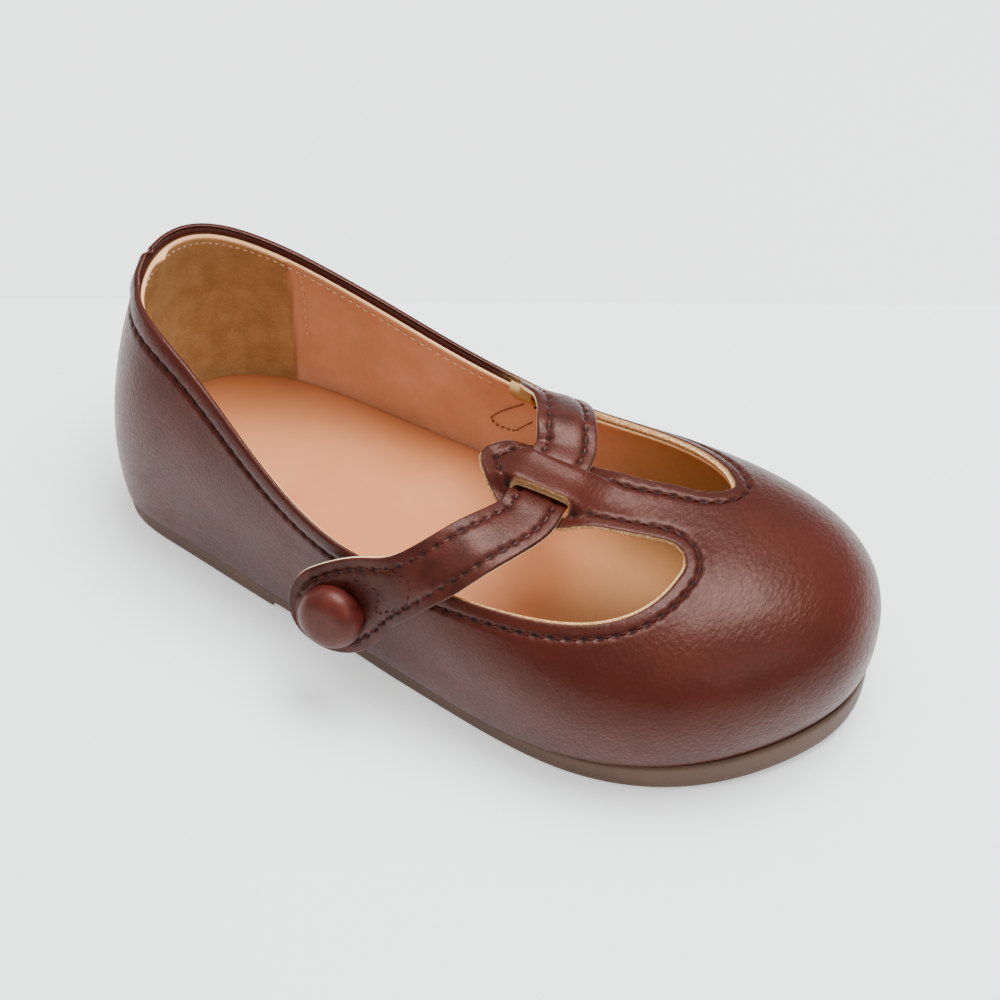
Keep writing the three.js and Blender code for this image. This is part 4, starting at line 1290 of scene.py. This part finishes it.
def strap_sheet(low, high, puffed):
    """One layer of the strap between two heights, with each point's inset and pinhole."""
    points, insets, holes = [], [], []
    for above, level in ((True, high), (False, low)):
        for run, half in zip(strap_runs, strap_half_width(strap_runs)):
            scale = min(half / (inset[-1] + 0.5), 1)
            near_side = np.append(inset * scale, (half + inset[-1] * scale) / 2)
            across = np.concatenate((near_side - half, [0], (half - near_side)[::-1]))
            runs = np.full(len(across), run)
            edge = half - np.abs(across)
            lift, hole = np.full(len(across), level), np.zeros(len(across))
            if puffed and above:
                _, gap = near_strap_holes.of(np.stack((runs, across), -1))
                swell = 0.3 * smooth((edge - ROW_INSET) / 1.6) - 0.12
                groove = 0.14 * bell(edge - ROW_INSET, 0.3)
                lift = lift + swell - groove - 0.42 * bell(gap, 0.52) - fold(edge, 0.4)
                hole = bell(gap, 0.56, 4)
            elif not puffed and not above:
                lift = lift + fold(edge, 0.3)
            points.append(strap_at(runs, across, lift)[0])
            insets.append(edge)
            holes.append(hole)
    top, bottom = np.split(np.concatenate(points), 2)
    grid = np.array(wrap(len(strap_runs), 2 * len(inset) + 3, closed=False))
    return (*two_faced(top, bottom, grid), np.concatenate(insets), np.concatenate(holes))


strap_leather = Finish(
    "strap_leather", Coat_Roughness=0.28, Specular_IOR_Level=0.26, Specular_Tint=WARM_GLOSS
)
strap_grain = strap_leather.cells(0.6)
strap_mottle = strap_leather.cloud(5, 5)
strap_raw = strap_leather.mark("raw")
strap_leather.feed(
    Base_Color=strap_leather.layered(
        strap_leather.mix(strap_mottle.between(0.35, 0.7), linear(60, 21, 15), linear(42, 11, 7)),
        # Painted shade in the pinholes: the holes are shallow dents, and the dark inside them is
        # painted.
        (strap_leather.mark("hole"), linear(24, 9, 8)),
        (strap_raw, linear(128, 84, 64)),
    ),
    Roughness=strap_grain * 0.14 + strap_mottle * 0.14 + 0.28 + strap_raw * 0.4,
    Coat_Weight=0.12 - strap_mottle * 0.08,
)
strap_leather.relief(strap_grain + strap_leather.cloud(1.4, 5) * 1.2, 0.09, 0.42)
strap_top = STRAP_THICKNESS / 2
parting = STRAP_THICKNESS * (0.5 - LEATHER_SHARE)
points, faces, insets, pinholes = strap_sheet(parting, strap_top, True)
cut_rim = 0.6 * (insets < 0.01)
cut_rim[: len(insets) // 2] = 0
piece(
    "strap_leather_band", points, faces, strap_leather, ("strap",), sharp=50,
    marks={"hole": pinholes, "raw": cut_rim},
)
backing = fibres("strap_backing", 0.25, (0.5, 4), (206, 176, 142), (236, 212, 180), 0.65, 0.1)
points, faces, _, _ = strap_sheet(-strap_top, parting, False)
piece("strap_backing_band", points, faces, backing, sharp=50)

# The strap's stitches: two rows, a ring round its end, and the arrow that fastens that end.
END_ARROW = ((19, -4.2), (27.5, -4.6), (31.5, 0), (27.5, 4.6), (19, 4.2), (23.5, 0), (19, -4.2))
end_radius = STRAP_END_WIDTH / 2
ring = end_radius - ROW_INSET
angles = np.linspace(-math.pi / 2 - 0.4, math.pi / 2 + 0.4, 17)
arrow = resampled(np.array(END_ARROW, float), 1.9)
strap_stitches = []
for run, across, level, gap in (
    *((*row, -0.2, 0.3) for row in strap_rows),
    (end_radius - ring * np.cos(angles), ring * np.sin(angles), -0.15, 0.12),
    (*arrow.T, 0.2, 0.12),
):
    strap_stitches += stitched(*strap_at(run, across, strap_top + level), gap)
threads("strap_thread", strap_stitches, dark_thread, radius=0.18, sink=0.22, rise=0.34)

# The button: a metal shell covered in the same leather, a shallow dome with a rounded rim, riveted
# through the middle of the strap's round end.
BUTTON_DIAMETER = 13.8
BUTTON_HEIGHT = 5.6
BUTTON_RIM = 1.6
BUTTON_SIDES = 96
DOME_ROWS = 26
button_leather = Finish(
    "button_leather", Coat_Roughness=0.3, Specular_IOR_Level=0.28, Specular_Tint=WARM_GLOSS
)
button_mottle = button_leather.cloud(5, 4)
button_grain = button_leather.cells(0.6)
button_leather.feed(
    Base_Color=button_leather.mix(
        button_mottle.between(0.35, 0.7), linear(70, 22, 16), linear(46, 9, 6)
    ),
    Roughness=button_grain * 0.1 + button_mottle * 0.12 + 0.36,
    Coat_Weight=0.16 - button_mottle * 0.1,
)
button_leather.relief(button_grain + button_leather.cloud(1.5, 4), 0.07, 0.4)
radius = BUTTON_DIAMETER / 2
dome = BUTTON_HEIGHT - BUTTON_RIM
profile = [(0.8 * radius, 0.0), (0.9 * radius, 0.1), (0.97 * radius, 0.45)]
profile.append((radius, 0.5 * BUTTON_RIM))
for k in range(DOME_ROWS):
    angle = k / DOME_ROWS * math.pi / 2
    profile.append((radius * math.cos(angle) ** 0.5, BUTTON_RIM + dome * math.sin(angle)))
seat, seat_out = (rows[0] for rows in strap_at(end_radius, 0.0, strap_top + GAP))
along = unit(np.cross(seat_out, (0, 0, 1)))
aside = np.cross(seat_out, along)
button_turns = np.arange(BUTTON_SIDES) / BUTTON_SIDES * 2 * math.pi
round_button = circle(BUTTON_SIDES, along, aside)
button_points = []
for reach, height in profile:
    pucker = 0.05 * np.cos(button_turns * 17) * bell(height, 0.9)
    button_points.append(seat + (reach + pucker)[:, None] * round_button + seat_out * height)
button_points += [(seat + seat_out * BUTTON_HEIGHT)[None], seat[None]]
crown = len(profile) * BUTTON_SIDES
button_faces = [face[::-1] for face in wrap(len(profile), BUTTON_SIDES)]
for k in range(BUTTON_SIDES):
    beside = (k + 1) % BUTTON_SIDES
    top_row = crown - BUTTON_SIDES
    button_faces += [(top_row + beside, crown, top_row + k), (crown + 1, beside, k)]
piece("covered_button", np.concatenate(button_points), button_faces, button_leather, ("button",))
